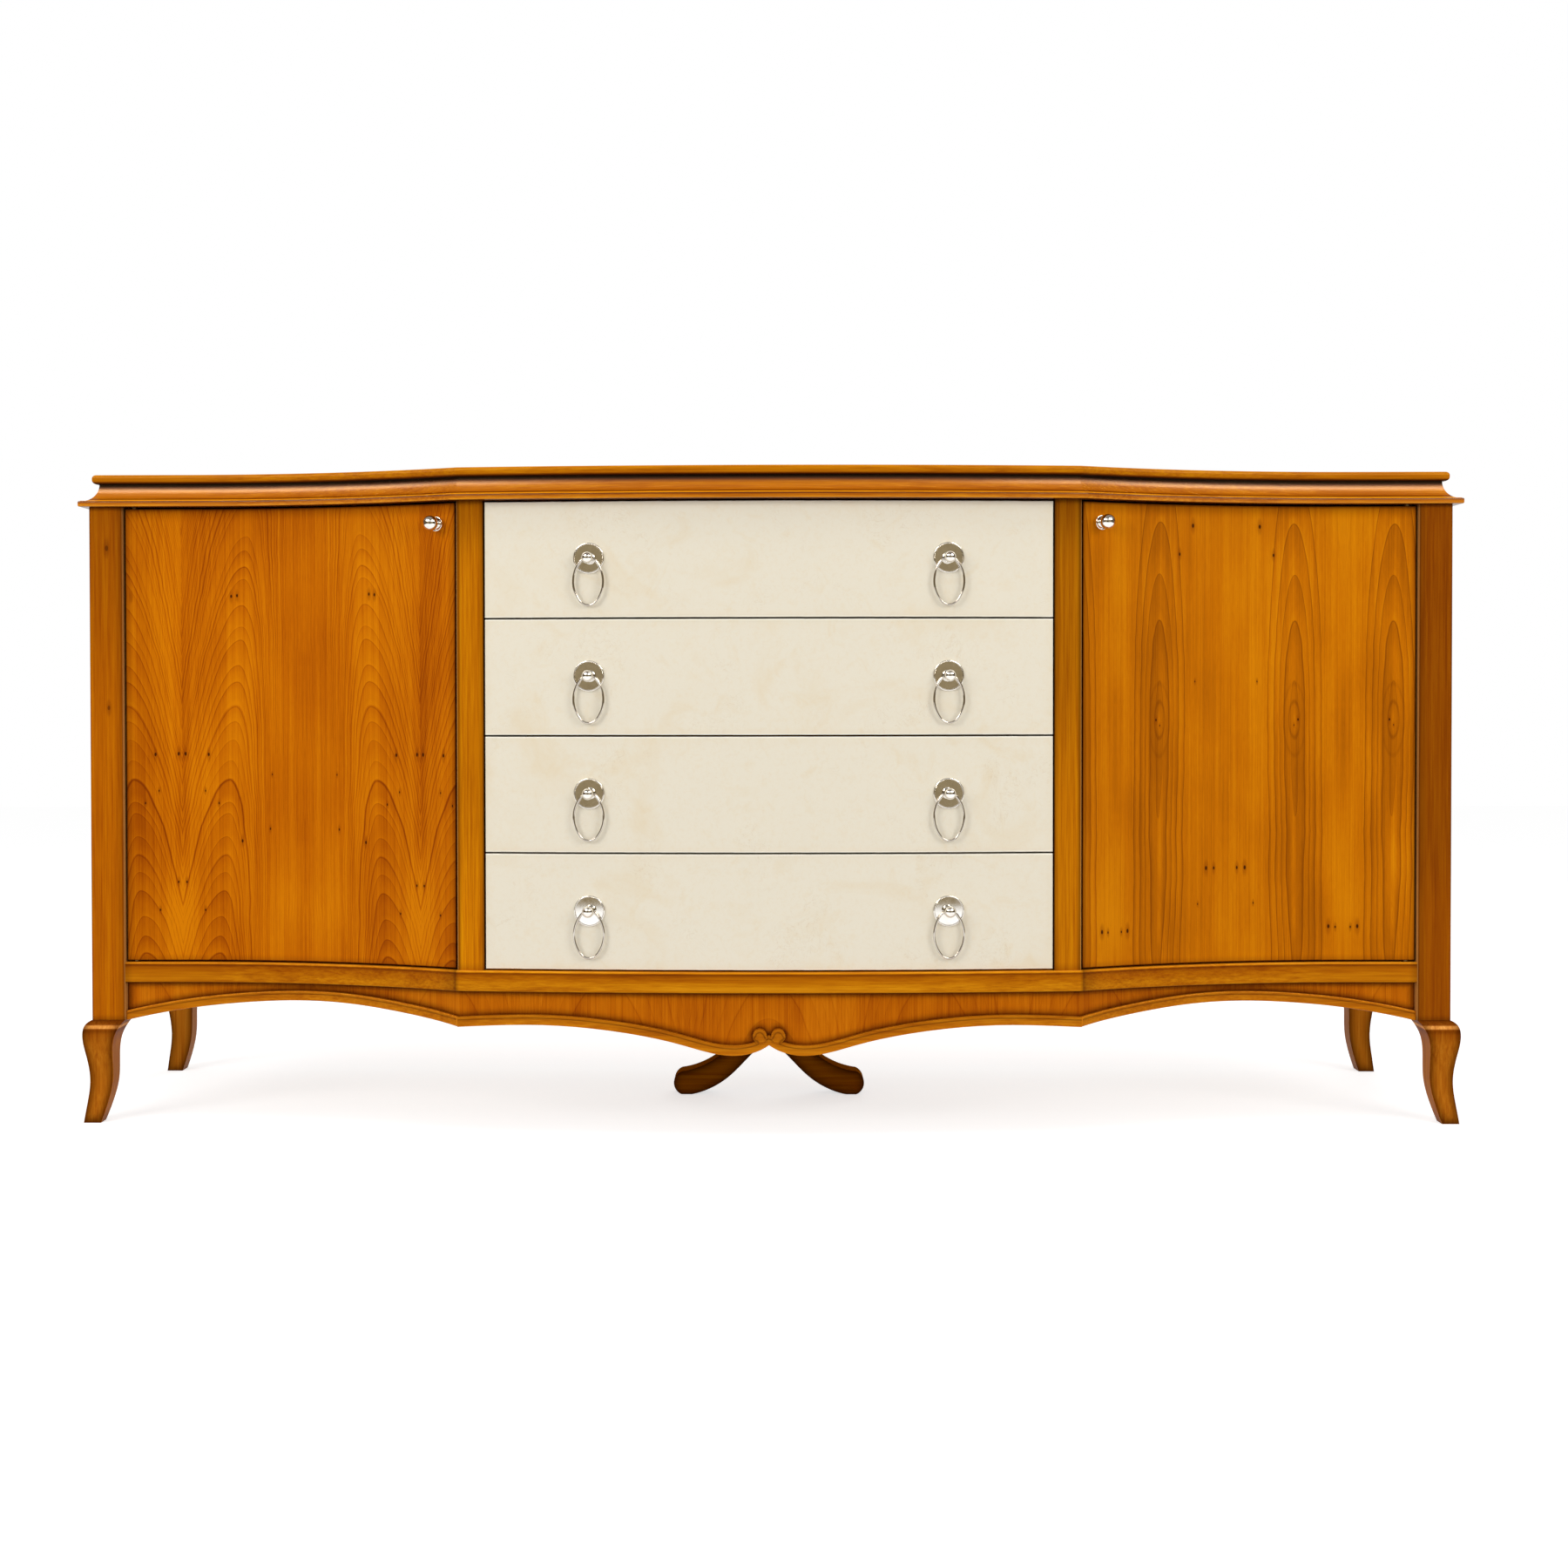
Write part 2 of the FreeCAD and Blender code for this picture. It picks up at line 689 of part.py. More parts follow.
def build_drawers():
    runners = [build_drawer(number) for number in range(1, drawer_count + 1)]
    save("drawer_runners", *runners, *[mirrored(runner) for runner in runners])


os.makedirs("parts", exist_ok=True)
build_case()
build_base_and_cornice()
build_aprons()
build_legs()
build_foot()
build_doors()
build_drawers()
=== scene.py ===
import bpy
import bmesh
import math
from mathutils import Matrix, Vector
from mathutils.bvhtree import BVHTree
from mathutils.kdtree import KDTree


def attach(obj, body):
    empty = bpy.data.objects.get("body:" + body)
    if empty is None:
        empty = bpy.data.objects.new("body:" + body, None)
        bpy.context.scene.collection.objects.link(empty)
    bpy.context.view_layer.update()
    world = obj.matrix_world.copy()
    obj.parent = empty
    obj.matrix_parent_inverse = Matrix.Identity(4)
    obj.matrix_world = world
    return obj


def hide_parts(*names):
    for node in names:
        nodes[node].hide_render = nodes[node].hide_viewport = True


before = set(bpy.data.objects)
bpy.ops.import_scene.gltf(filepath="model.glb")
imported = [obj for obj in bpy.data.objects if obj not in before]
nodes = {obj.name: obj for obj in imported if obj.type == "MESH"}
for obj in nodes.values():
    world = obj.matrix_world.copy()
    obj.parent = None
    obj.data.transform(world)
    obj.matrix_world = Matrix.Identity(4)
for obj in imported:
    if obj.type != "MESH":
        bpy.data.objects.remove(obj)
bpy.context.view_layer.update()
scene = bpy.context.scene
print("frame loaded:", len(nodes), "nodes")

# the front's plan and heights, the same lines as the solids, in metres
plan = dict(half=0.9875, cornerX=0.4425, cornerReach=0.095, bowRise=0.0245, arcStart=0.847, shiftY=-0.1665,
            depth=0.465, postIn=0.939, doorOut=0.9365, stileIn=0.402, stileArrisEdge=0.4382, stileOut=0.440)
levels = dict(kneeLow=0.110, kneeHigh=0.150, postFoot=0.149, boardFoot=0.165, rail=0.2035, floor=0.233,
              fronts=0.2355, frontTop=0.893, caseTop=0.8955, top=0.9295, height=0.943, pitch=0.165)
hollowReach = plan["arcStart"] - plan["cornerX"]
hollowRadius = (hollowReach ** 2 + plan["cornerReach"] ** 2) / (2 * plan["cornerReach"])
bowRadius = (plan["cornerX"] ** 2 + plan["bowRise"] ** 2) / (2 * plan["bowRise"])
bowFront = -(plan["cornerReach"] + plan["bowRise"])
bowMiddle = Vector((0, bowFront + bowRadius, 0))
hollowMiddle = Vector((plan["arcStart"], -hollowRadius, 0))


def bowTurn(x):
    return math.asin(x / bowRadius)


def hollowTurn(x):
    return math.asin(max(plan["arcStart"] - x, 0) / hollowRadius)


def facing(turn):
    return Vector((math.sin(turn), -math.cos(turn), 0))


def cornerPoint(out):
    # where bow and hollow meet, this far out from the face
    near, far = hollowRadius - out, bowRadius + out
    link = bowMiddle - hollowMiddle
    span = link.length
    along = (near * near - far * far + span * span) / (2 * span)
    aside = math.sqrt(near * near - along * along)
    link.normalize()
    foot = hollowMiddle + link * along
    across = link.cross(Vector((0, 0, 1))) * aside
    wanted = Vector((plan["cornerX"], -plan["cornerReach"], 0))
    return min((foot + across, foot - across), key=lambda p: (p - wanted).length)


def frontPoint(x, out):
    side = math.copysign(1, x)
    x = abs(x)
    if x >= plan["arcStart"]:
        y = -out
    elif x >= cornerPoint(out).x:
        y = hollowMiddle.y + math.sqrt((hollowRadius - out) ** 2 - (plan["arcStart"] - x) ** 2)
    else:
        y = bowMiddle.y - math.sqrt((bowRadius + out) ** 2 - x * x)
    return Vector((side * x, y + plan["shiftY"], 0))


def addObject(name, data):
    item = bpy.data.objects.new(name, data)
    scene.collection.objects.link(item)
    return item


# camera at the photograph's point of view, its frame and axis in pixels
view = dict(at=(-0.002, -3.325, 0.6186), yaw=-0.682, pitch=1.001, roll=0.078, lens=50, sensor=36,
            frame=1800, axisX=851.0, axisY=843.8)


def makeCamera(v):
    yaw, pitch, roll = (math.radians(v[k]) for k in ("yaw", "pitch", "roll"))
    ahead = Vector((math.sin(yaw) * math.cos(pitch), math.cos(yaw) * math.cos(pitch), -math.sin(pitch)))
    right = Vector((math.cos(yaw), -math.sin(yaw), 0))
    down = ahead.cross(right)
    right, down = (right * math.cos(roll) + down * math.sin(roll),
                   down * math.cos(roll) - right * math.sin(roll))
    cam = addObject("camera", bpy.data.cameras.new("camera"))
    cam.matrix_world = Matrix((right, -down, -ahead)).transposed().to_4x4()
    cam.location = v["at"]
    cam.data.lens, cam.data.sensor_width = v["lens"], v["sensor"]
    cam.data.shift_x = (v["frame"] / 2 - v["axisX"]) / v["frame"]
    cam.data.shift_y = (v["axisY"] - v["frame"] / 2) / v["frame"]
    scene.camera = cam


makeCamera(view)

# small helpers for node trees
signs = {"+": "ADD", "-": "SUBTRACT", "*": "MULTIPLY", "/": "DIVIDE", "*+": "MULTIPLY_ADD",
         "max": "MAXIMUM", "min": "MINIMUM", "abs": "ABSOLUTE"}


def feed(tree, socket, value):
    if isinstance(value, bpy.types.NodeSocket):
        tree.links.new(value, socket)
    elif value is not None:
        socket.default_value = value


def feedInOrder(tree, node, *values):
    for socket, value in zip(node.inputs, values):
        feed(tree, socket, value)
    return node.outputs[0]


def addNode(tree, kind, *settings, **values):
    node = tree.nodes.new(kind)
    for key, choice in settings:
        setattr(node, key, choice)
    for key, value in values.items():
        feed(tree, node.inputs[key.replace("_", " ")], value)
    return node


def calc(tree, sign, a, b=None, c=None):
    node = addNode(tree, "ShaderNodeMath", ("operation", signs.get(sign, sign)))
    return feedInOrder(tree, node, a, b, c)


def joinXyz(tree, x, y, z):
    return feedInOrder(tree, tree.nodes.new("ShaderNodeCombineXYZ"), x, y, z)


def objectXyz(tree):
    where = tree.nodes.new("ShaderNodeTexCoord")
    return addNode(tree, "ShaderNodeSeparateXYZ", Vector=where.outputs["Object"]).outputs[:]


def noiseOf(tree, vector, scale=1.0, detail=3.0, rough=0.55, distortion=0.0):
    return addNode(tree, "ShaderNodeTexNoise", Vector=vector, Scale=scale, Detail=detail,
                   Roughness=rough, Distortion=distortion).outputs["Fac"]


def lineNoise(tree, w, scale, detail, rough):
    return addNode(tree, "ShaderNodeTexNoise", ("noise_dimensions", "1D"), W=w, Scale=scale,
                   Detail=detail, Roughness=rough).outputs["Fac"]


def stretched(tree, t, y, length, across, along, *noise):
    lie = joinXyz(tree, calc(tree, "*", t, across), y, calc(tree, "*", length, along))
    return noiseOf(tree, lie, *noise)


def swing(tree, noise, reach, middle=0.0):
    return calc(tree, "*+", noise, reach, middle - reach / 2)


def distance(tree, a, b):
    return calc(tree, "SQRT", calc(tree, "*+", a, a, calc(tree, "*", b, b)))


def ease(tree, value, start, end, low=0.0, high=1.0):
    node = addNode(tree, "ShaderNodeMapRange", ("interpolation_type", "SMOOTHSTEP"))
    return feedInOrder(tree, node, value, start, end, low, high)


def ramp(tree, value, *stops):
    node = tree.nodes.new("ShaderNodeValToRGB")
    feed(tree, node.inputs[0], value)
    points = node.color_ramp.elements
    while len(points) < len(stops):
        points.new(1.0)
    for point, (place, colour) in zip(points, stops):
        point.position = place
        point.color = (*colour, 1)
    return node.outputs[0]


def blendColour(tree, share, a, b, how="MIX"):
    node = addNode(tree, "ShaderNodeMix", ("data_type", "RGBA"), ("blend_type", how))
    for index, value in ((0, share), (6, a), (7, b)):  # sockets 6 and 7 are the colours
        feed(tree, node.inputs[index], (*value, 1) if isinstance(value, tuple) else value)
    return node.outputs[2]


def newFinish(name):
    material = bpy.data.materials.new(name)
    material.use_nodes = True
    material.node_tree.nodes.clear()
    return material, material.node_tree


def closeFinish(tree, colour, roughness, relief, reliefDepth, **fixed):
    bump = addNode(tree, "ShaderNodeBump", Strength=1.0, Distance=reliefDepth, Height=relief)
    shader = addNode(tree, "ShaderNodeBsdfPrincipled", Base_Color=colour, Roughness=roughness,
                     Normal=bump.outputs[0], **fixed)
    addNode(tree, "ShaderNodeOutputMaterial", Surface=shader.outputs[0])


# cherry colours, from the dark ring lines to the pale early wood, with a colour for glaze and painted shade and
# one for painted highlights
cherry = dict(line=(0.270, 0.048, 0.0004), late=(0.440, 0.098, 0.0005), body=(0.570, 0.150, 0.0008),
              pale=(0.715, 0.230, 0.0020), glazeAndShade=(0.16, 0.10, 0.07), paintedHighlight=(0.76, 0.36, 0.09),
              knot=(0.045, 0.008, 0.001), postKnot=(0.075, 0.012, 0.001),
              sheen=(1.0, 0.66, 0.25, 1.0), roughness=0.36)


# multiplies in the glaze colour: real glaze, and painted shade in gaps, corners and under overhangs
def glazedAndShaded(tree, colour, share):
    return blendColour(tree, share, colour, cherry["glazeAndShade"], "MULTIPLY")


def meshValue(tree, name):
    # what the points of the mesh remember
    return addNode(tree, "ShaderNodeAttribute", ("attribute_name", name)).outputs["Fac"]


def edgeShade(tree, colour, spread, bands):
    # bands: coordinate, where strongest, where it ends, how dark, or how bright a painted highlight if below
    # nothing
    for axis, dark, clear, depth in bands:
        if dark < clear:
            share = ease(tree, spread[axis], dark, clear, abs(depth), 0.0)
        else:
            share = ease(tree, spread[axis], clear, dark, 0.0, abs(depth))
        if depth > 0:
            colour = glazedAndShaded(tree, colour, share)
        else:
            # a painted highlight along an arris
            colour = blendColour(tree, share, colour, cherry["paintedHighlight"])
    return colour


def cherryRamp(tree, tone, places, line=cherry["line"], late=cherry["late"]):
    return ramp(tree, tone, *zip(places, (line, late, cherry["body"], cherry["pale"])))


def tinge(tree, tone, *layers):
    # each noise shifts the tone either way by its share
    for noise, share in layers:
        tone = calc(tree, "*+", calc(tree, "-", noise, 0.5), share, tone)
    return tone


# how a leaf's figure is drawn: noises are scale, detail and roughness, after any stretch across and along
figure = dict(fibre=(560.0, 3.0, 1.0, 3.0, 0.7), streak=(90.0, 1.0, 1.0, 3.0, 0.6),
              fleck=(600.0, 60.0, 1.0, 2.0, 0.6), cloud=(2.5, 1.0, 4.0, 2.0), pores=(22.0, 1.0, 40.0, 2.0),
              bend=(9.0, 2.0), wave=(6.0, 3.0, 0.5), uneven=(0.45, 2.0, 0.5), unevenShare=1.8, heartSoft=0.05,
              lineShare=-0.44, lateShare=-0.16, earlyShare=0.14, streakShare=0.36, fleckShare=0.18,
              cloudShare=0.60, lineWidth=(0.0001, 0.0011), lateStart=0.30, eyeLine=(0.03, 0.20),
              tones=(0.14, 0.38, 0.56, 0.80), poreCut=(0.64, 0.74), poreDark=0.22, knotDark=0.95,
              haloDark=0.45, knotClear=(0.919, 0.926), roughSwing=0.12, gloss=0.07, relief=0.00005)
knotShape = dict(size=0.72, tall=0.35, haloWide=0.18, haloTall=0.02, edge=(0.2, 1.2))


def ovalRings(tree, u, z, grain):
    # closed rings round the heart of the leaf, longer below it than above
    du = calc(tree, "/", u, grain["ovalWide"])
    off = calc(tree, "-", z, grain["ovalLevel"])
    dz = calc(tree, "+", calc(tree, "/", calc(tree, "max", off, 0.0), grain["ovalTall"]),
              calc(tree, "/", calc(tree, "min", off, 0.0), grain["ovalDeep"]))
    rings = distance(tree, du, dz)
    steep = distance(tree, calc(tree, "/", du, grain["ovalWide"]), calc(tree, "/", dz, grain["ovalTall"]))
    slope = calc(tree, "/", steep, calc(tree, "+", rings, figure["heartSoft"]))
    clear = calc(tree, "*", ease(tree, rings, *grain["fade"]), ease(tree, rings, *grain["heart"], 1.0))
    return rings, slope, clear


def archRings(tree, u, z, grain):
    # arches, with a different flank either side of the crown
    left, right = calc(tree, "min", u, 0.0), calc(tree, "max", u, 0.0)
    left2 = calc(tree, "*", left, left)
    flank = calc(tree, "*", left2, calc(tree, "*+", left2, grain["flare"], grain["flank"]))
    quarter = calc(tree, "*", calc(tree, "*", right, right), grain["quarter"])
    rings = calc(tree, "/", calc(tree, "+", z, calc(tree, "+", flank, quarter)), grain["ring"])
    tilt = calc(tree, "*", left, calc(tree, "*+", left2, 4 * grain["flare"], 2 * grain["flank"]))
    tilt = calc(tree, "*+", right, 2 * grain["quarter"], tilt)
    slope = calc(tree, "/", distance(tree, tilt, 1.0), grain["ring"])
    return rings, slope, ease(tree, slope, *grain["fade"])


def ringField(tree, t, z, grain):
    # counts growth rings over a leaf, and how many there are to the metre
    middle = calc(tree, "*+", calc(tree, "-", z, grain["level"]), grain["drift"], grain["crown"])
    bend = noiseOf(tree, joinXyz(tree, 0.0, grain["seed"], z), *figure["bend"])
    u = calc(tree, "+", calc(tree, "-", t, middle), swing(tree, bend, grain["sway"]))
    draw = ovalRings if "ovalWide" in grain else archRings
    rings, slope, clear = draw(tree, u, z, grain)
    wave = stretched(tree, t, grain["seed"], z, grain["waveAcross"], 1.0, *figure["wave"])
    rings = calc(tree, "+", rings, swing(tree, wave, grain["wave"]))
    uneven = lineNoise(tree, rings, *figure["uneven"])
    rings = calc(tree, "+", rings, calc(tree, "*+", uneven, figure["unevenShare"], grain["phase"]))
    return rings, slope, clear, u


def softPatch(tree, t, z, patches):
    # light and dark clouds: place, level, half width, half height, how much
    total = 0.0
    for place, level, wide, tall, amount in patches:
        far = distance(tree, calc(tree, "/", calc(tree, "-", t, place), wide),
                       calc(tree, "/", calc(tree, "-", z, level), tall))
        total = calc(tree, "+", total, ease(tree, far, 0.0, 1.0, amount, 0.0))
    return total


def knotMarks(tree, t, z, knots):
    # dark cores, and the halo of darker wood round them
    cores = halos = 0.0
    for place, level, size in knots:
        dt, dz = (calc(tree, "/", calc(tree, "-", value, at), size * knotShape["size"])
                  for value, at in ((t, place), (z, level)))
        tall = calc(tree, "*", dz, dz)
        core = calc(tree, "*+", dt, dt, calc(tree, "*", tall, knotShape["tall"]))
        halo = calc(tree, "*+", calc(tree, "*", dt, dt), knotShape["haloWide"],
                    calc(tree, "*", tall, knotShape["haloTall"]))
        cores = calc(tree, "+", cores, ease(tree, core, *knotShape["edge"], 1.0, 0.0))
        halos = calc(tree, "+", halos, ease(tree, halo, 0.0, 1.0, 1.0, 0.0))
    return cores, halos


def veneer(name, across, along, grain, bands=(), knots=(), tint=None, recess=None):
    # across and along say which way the leaf lies on the piece
    material, tree = newFinish(name)
    x, y, z = objectXyz(tree)
    side = calc(tree, "abs", x)
    spread = dict(x=x, y=y, z=z, side=side)
    if across == "arc":  # round the hollow, from where it starts
        reach = calc(tree, "-", plan["arcStart"], side)
        curved = calc(tree, "ARCSINE", calc(tree, "/", calc(tree, "max", reach, 0.0), hollowRadius))
        s = calc(tree, "*+", curved, hollowRadius, calc(tree, "min", reach, 0.0))
    else:
        s = spread[across]
    length = spread[along]
    fromJoint = calc(tree, "-", s, grain["joint"])
    t = calc(tree, "PINGPONG", fromJoint, grain["leaf"])  # leaves open like the pages of a book
    rings, slope, clear, u = ringField(tree, t, length, grain)
    step = calc(tree, "FRACT", rings)
    pick = addNode(tree, "ShaderNodeTexWhiteNoise", ("noise_dimensions", "1D"), W=calc(tree, "FLOOR", rings))
    strength = calc(tree, "POWER", pick.outputs["Value"], 2.0)
    strength = calc(tree, "*+", strength, 1.0 - grain["faint"], grain["faint"])
    strength = calc(tree, "*", strength, calc(tree, "*", clear, grain.get("depth", 1.0)))
    near = calc(tree, "/", calc(tree, "min", step, calc(tree, "-", 1.0, step)), slope)
    line = ease(tree, near, *figure["lineWidth"], 1.0, 0.0)
    late = ease(tree, step, figure["lateStart"], 1.0)
    early = ease(tree, step, 0.0, figure["lateStart"], 1.0, 0.0)
    tone = grain["base"]
    for mark, share in ((line, "lineShare"), (late, "lateShare"), (early, "earlyShare")):
        tone = calc(tree, "*+", calc(tree, "*", mark, strength), figure[share], tone)
    fibre, fleck, pores = (stretched(tree, t, y, length, *figure[k]) for k in ("fibre", "fleck", "pores"))
    streak = stretched(tree, t, grain["seed"], length, *figure["streak"])
    cloud = stretched(tree, s, grain["seed"], length, *figure["cloud"])
    tone = tinge(tree, tone, (fibre, grain["fibre"]), (streak, figure["streakShare"]),
                 (fleck, figure["fleckShare"]), (cloud, figure["cloudShare"]))
    if "patches" in grain:
        tone = calc(tree, "+", tone, softPatch(tree, t, length, grain["patches"]))
    if "eye" in grain:  # two dark ovals close round the heart
        wide, tall, amount = grain["eye"]
        up = calc(tree, "-", length, grain["ovalLevel"])
        oval = distance(tree, calc(tree, "/", u, wide), calc(tree, "/", up, tall))
        for count in (1.0, 2.0):
            off = calc(tree, "abs", calc(tree, "-", oval, count))
            tone = calc(tree, "-", tone, ease(tree, off, *figure["eyeLine"], amount / count, 0.0))
    if "turnover" in grain:  # every other leaf is turned over and takes the light differently
        odd = calc(tree, "PINGPONG", calc(tree, "FLOOR", calc(tree, "/", fromJoint, grain["leaf"])), 1.0)
        there = calc(tree, "*", ease(tree, u, *grain["turnAcross"], grain["turnover"], 0.0),
                     ease(tree, length, *grain["turnUp"]))
        tone = calc(tree, "*+", calc(tree, "*+", odd, 2.0, -1.0), there, tone)
    colour = cherryRamp(tree, tone, figure["tones"], *grain.get("dark", ()))
    if knots:
        cores, halos = knotMarks(tree, t, length, knots)
        cores = calc(tree, "*", calc(tree, "min", cores, figure["knotDark"]),
                     ease(tree, side, *figure["knotClear"], 1.0, 0.0))
        colour = blendColour(tree, calc(tree, "*", halos, figure["haloDark"]), colour, cherry["line"])
        colour = blendColour(tree, cores, colour, cherry["knot"])
    pores = ease(tree, pores, *figure["poreCut"], 0.0, figure["poreDark"])
    colour = blendColour(tree, pores, colour, cherry["line"])
    if tint:
        colour = blendColour(tree, 1.0, colour, tint, "MULTIPLY")
    colour = edgeShade(tree, colour, spread, bands)
    # glaze and painted shade near corners, as the mesh remembers them
    if recess:
        colour = glazedAndShaded(tree, colour, meshValue(tree, recess))
    rough = swing(tree, fibre, figure["roughSwing"], cherry["roughness"])
    closeFinish(tree, colour, rough, calc(tree, "-", fibre, pores), figure["relief"],
                Specular_IOR_Level=figure["gloss"], Specular_Tint=cherry["sheen"])
    return material


# solid wood: noises are scale, detail, roughness and distortion
straight = dict(squeeze=0.02, tone=0.54, broad=(45.0, 3.0, 0.55, 0.4), fibre=(430.0, 3.0, 0.7),
                band=(150.0, 2.0, 0.5, 0.6), broadShare=0.40, fibreShare=0.70, bandShare=0.34,
                tones=(0.22, 0.40, 0.56, 0.80), knotDark=0.6, haloDark=0.5,
                roughSwing=0.14, glossSmooth=0.25, relief=0.00006)
scribed = dict(edge=(0.0003, 0.0013), dark=0.55, reach=3.5, shade=0.25)


def alongGrain(tree, xyz, along, squeeze):
    lie = (calc(tree, "*", value, squeeze if axis == along else 1.0) for axis, value in zip("xyz", xyz))
    return joinXyz(tree, *lie)


def solidCherry(name, along, tint=(1.0, 1.0, 1.0), bands=(), stripes=None, gloss=0.10, recess=None,
                scribe=None, sheen=cherry["sheen"], knots=()):
    # straight-grained solid wood, with the grain along one axis
    material, tree = newFinish(name)
    x, y, z = objectXyz(tree)
    spread = dict(x=x, y=y, z=z, side=calc(tree, "abs", x))
    lie = alongGrain(tree, (x, y, z), along, straight["squeeze"])
    broad, fibre, band = (noiseOf(tree, lie, *straight[k]) for k in ("broad", "fibre", "band"))
    tone = tinge(tree, straight["tone"], (broad, straight["broadShare"]),
                 (fibre, straight["fibreShare"]), (band, straight["bandShare"]))
    colour = cherryRamp(tree, tone, straight["tones"])
    if knots:
        cores, halos = knotMarks(tree, spread["side"], z, knots)
        colour = blendColour(tree, calc(tree, "*", halos, straight["haloDark"]), colour, cherry["line"])
        colour = blendColour(tree, calc(tree, "min", cores, straight["knotDark"]), colour, cherry["postKnot"])
    colour = blendColour(tree, 1.0, colour, tint, "MULTIPLY")
    if stripes:  # glaze lines, painted highlights and painted shade along a moulding, from its foot to its top
        low, high, marks = stripes
        up = calc(tree, "/", calc(tree, "-", z, low), high - low)
        colour = blendColour(tree, 1.0, colour, ramp(tree, up, *marks), "MULTIPLY")
    colour = edgeShade(tree, colour, spread, bands)
    # glaze and painted shade near corners, as the mesh remembers them
    if recess:
        colour = glazedAndShaded(tree, colour, meshValue(tree, recess))
    if scribe:  # glaze in the line scribed below an edge
        below = meshValue(tree, "below")
        off = calc(tree, "abs", calc(tree, "-", below, scribe))
        colour = glazedAndShaded(tree, colour, ease(tree, off, *scribed["edge"], scribed["dark"], 0.0))
        end = scribe * scribed["reach"]
        colour = glazedAndShaded(tree, colour, ease(tree, below, scribe, end, scribed["shade"], 0.0))
    rough = swing(tree, fibre, straight["roughSwing"], cherry["roughness"] - straight["glossSmooth"] * gloss)
    closeFinish(tree, colour, rough, fibre, straight["relief"], Specular_IOR_Level=gloss, Specular_Tint=sheen)
    return material


lining = dict(dark=(0.330, 0.155, 0.050), middle=(0.470, 0.255, 0.095), pale=(0.560, 0.335, 0.140),
              squeeze=0.05, broad=(30.0, 4.0, 0.55, 0.8), fibre=(380.0, 3.0, 0.6), broadShare=0.65,
              fibreShare=0.35, tones=(0.25, 0.50, 0.75), roughness=0.52, roughSwing=0.2, relief=0.0001)


def innerWood(name, along):
    material, tree = newFinish(name)
    lie = alongGrain(tree, objectXyz(tree), along, lining["squeeze"])
    broad, fibre = (noiseOf(tree, lie, *lining[k]) for k in ("broad", "fibre"))
    tone = calc(tree, "*+", broad, lining["broadShare"], calc(tree, "*", fibre, lining["fibreShare"]))
    colour = ramp(tree, tone, *zip(lining["tones"], (lining["dark"], lining["middle"], lining["pale"])))
    rough = swing(tree, fibre, lining["roughSwing"], lining["roughness"])
    closeFinish(tree, colour, rough, fibre, lining["relief"], Coat_Weight=0.1, Coat_Roughness=0.3)
    return material


# parchment: noises as for solid wood, and where each shows; the rubs, the painted shadow and the darkening are how
# far in and how strong
skin = dict(base=(0.790, 0.728, 0.592), cloud=(0.745, 0.615, 0.405), vein=(0.600, 0.450, 0.260),
            edge=(0.930, 0.885, 0.770), roughness=0.36, faceHeight=0.1625, faceHalf=0.3995,
            soft=(7.0, 6.0, 0.58, 0.9), patch=(21.0, 5.0, 0.6, 1.4), where=(11.0, 3.0, 0.5, 0.5),
            crease=(34.0, 4.0, 0.6, 2.2), mottle=(170.0, 4.0, 0.7, 0.6), grit=(620.0, 3.0, 0.6),
            softCut=(0.50, 0.74), patchCut=(0.52, 0.78), whereCut=(0.52, 0.66), mottleCut=(0.46, 0.72),
            creaseWidth=0.016, cloudShare=0.55, mottleShare=0.26, patchShare=0.42, veinShare=0.32,
            rub=(0.0030, 0.9), footDarkening=(0.014, 0.30), topShadow=(0.020, 0.16), sideDarkening=(0.016, 0.30),
            darkeningLift=0.2, gritRelief=0.25, sunk=-0.5, roughSwing=0.16, relief=0.00012)


def towards(tree, value, edge, width, depth):
    return ease(tree, value, edge - width, edge, 0.0, depth)


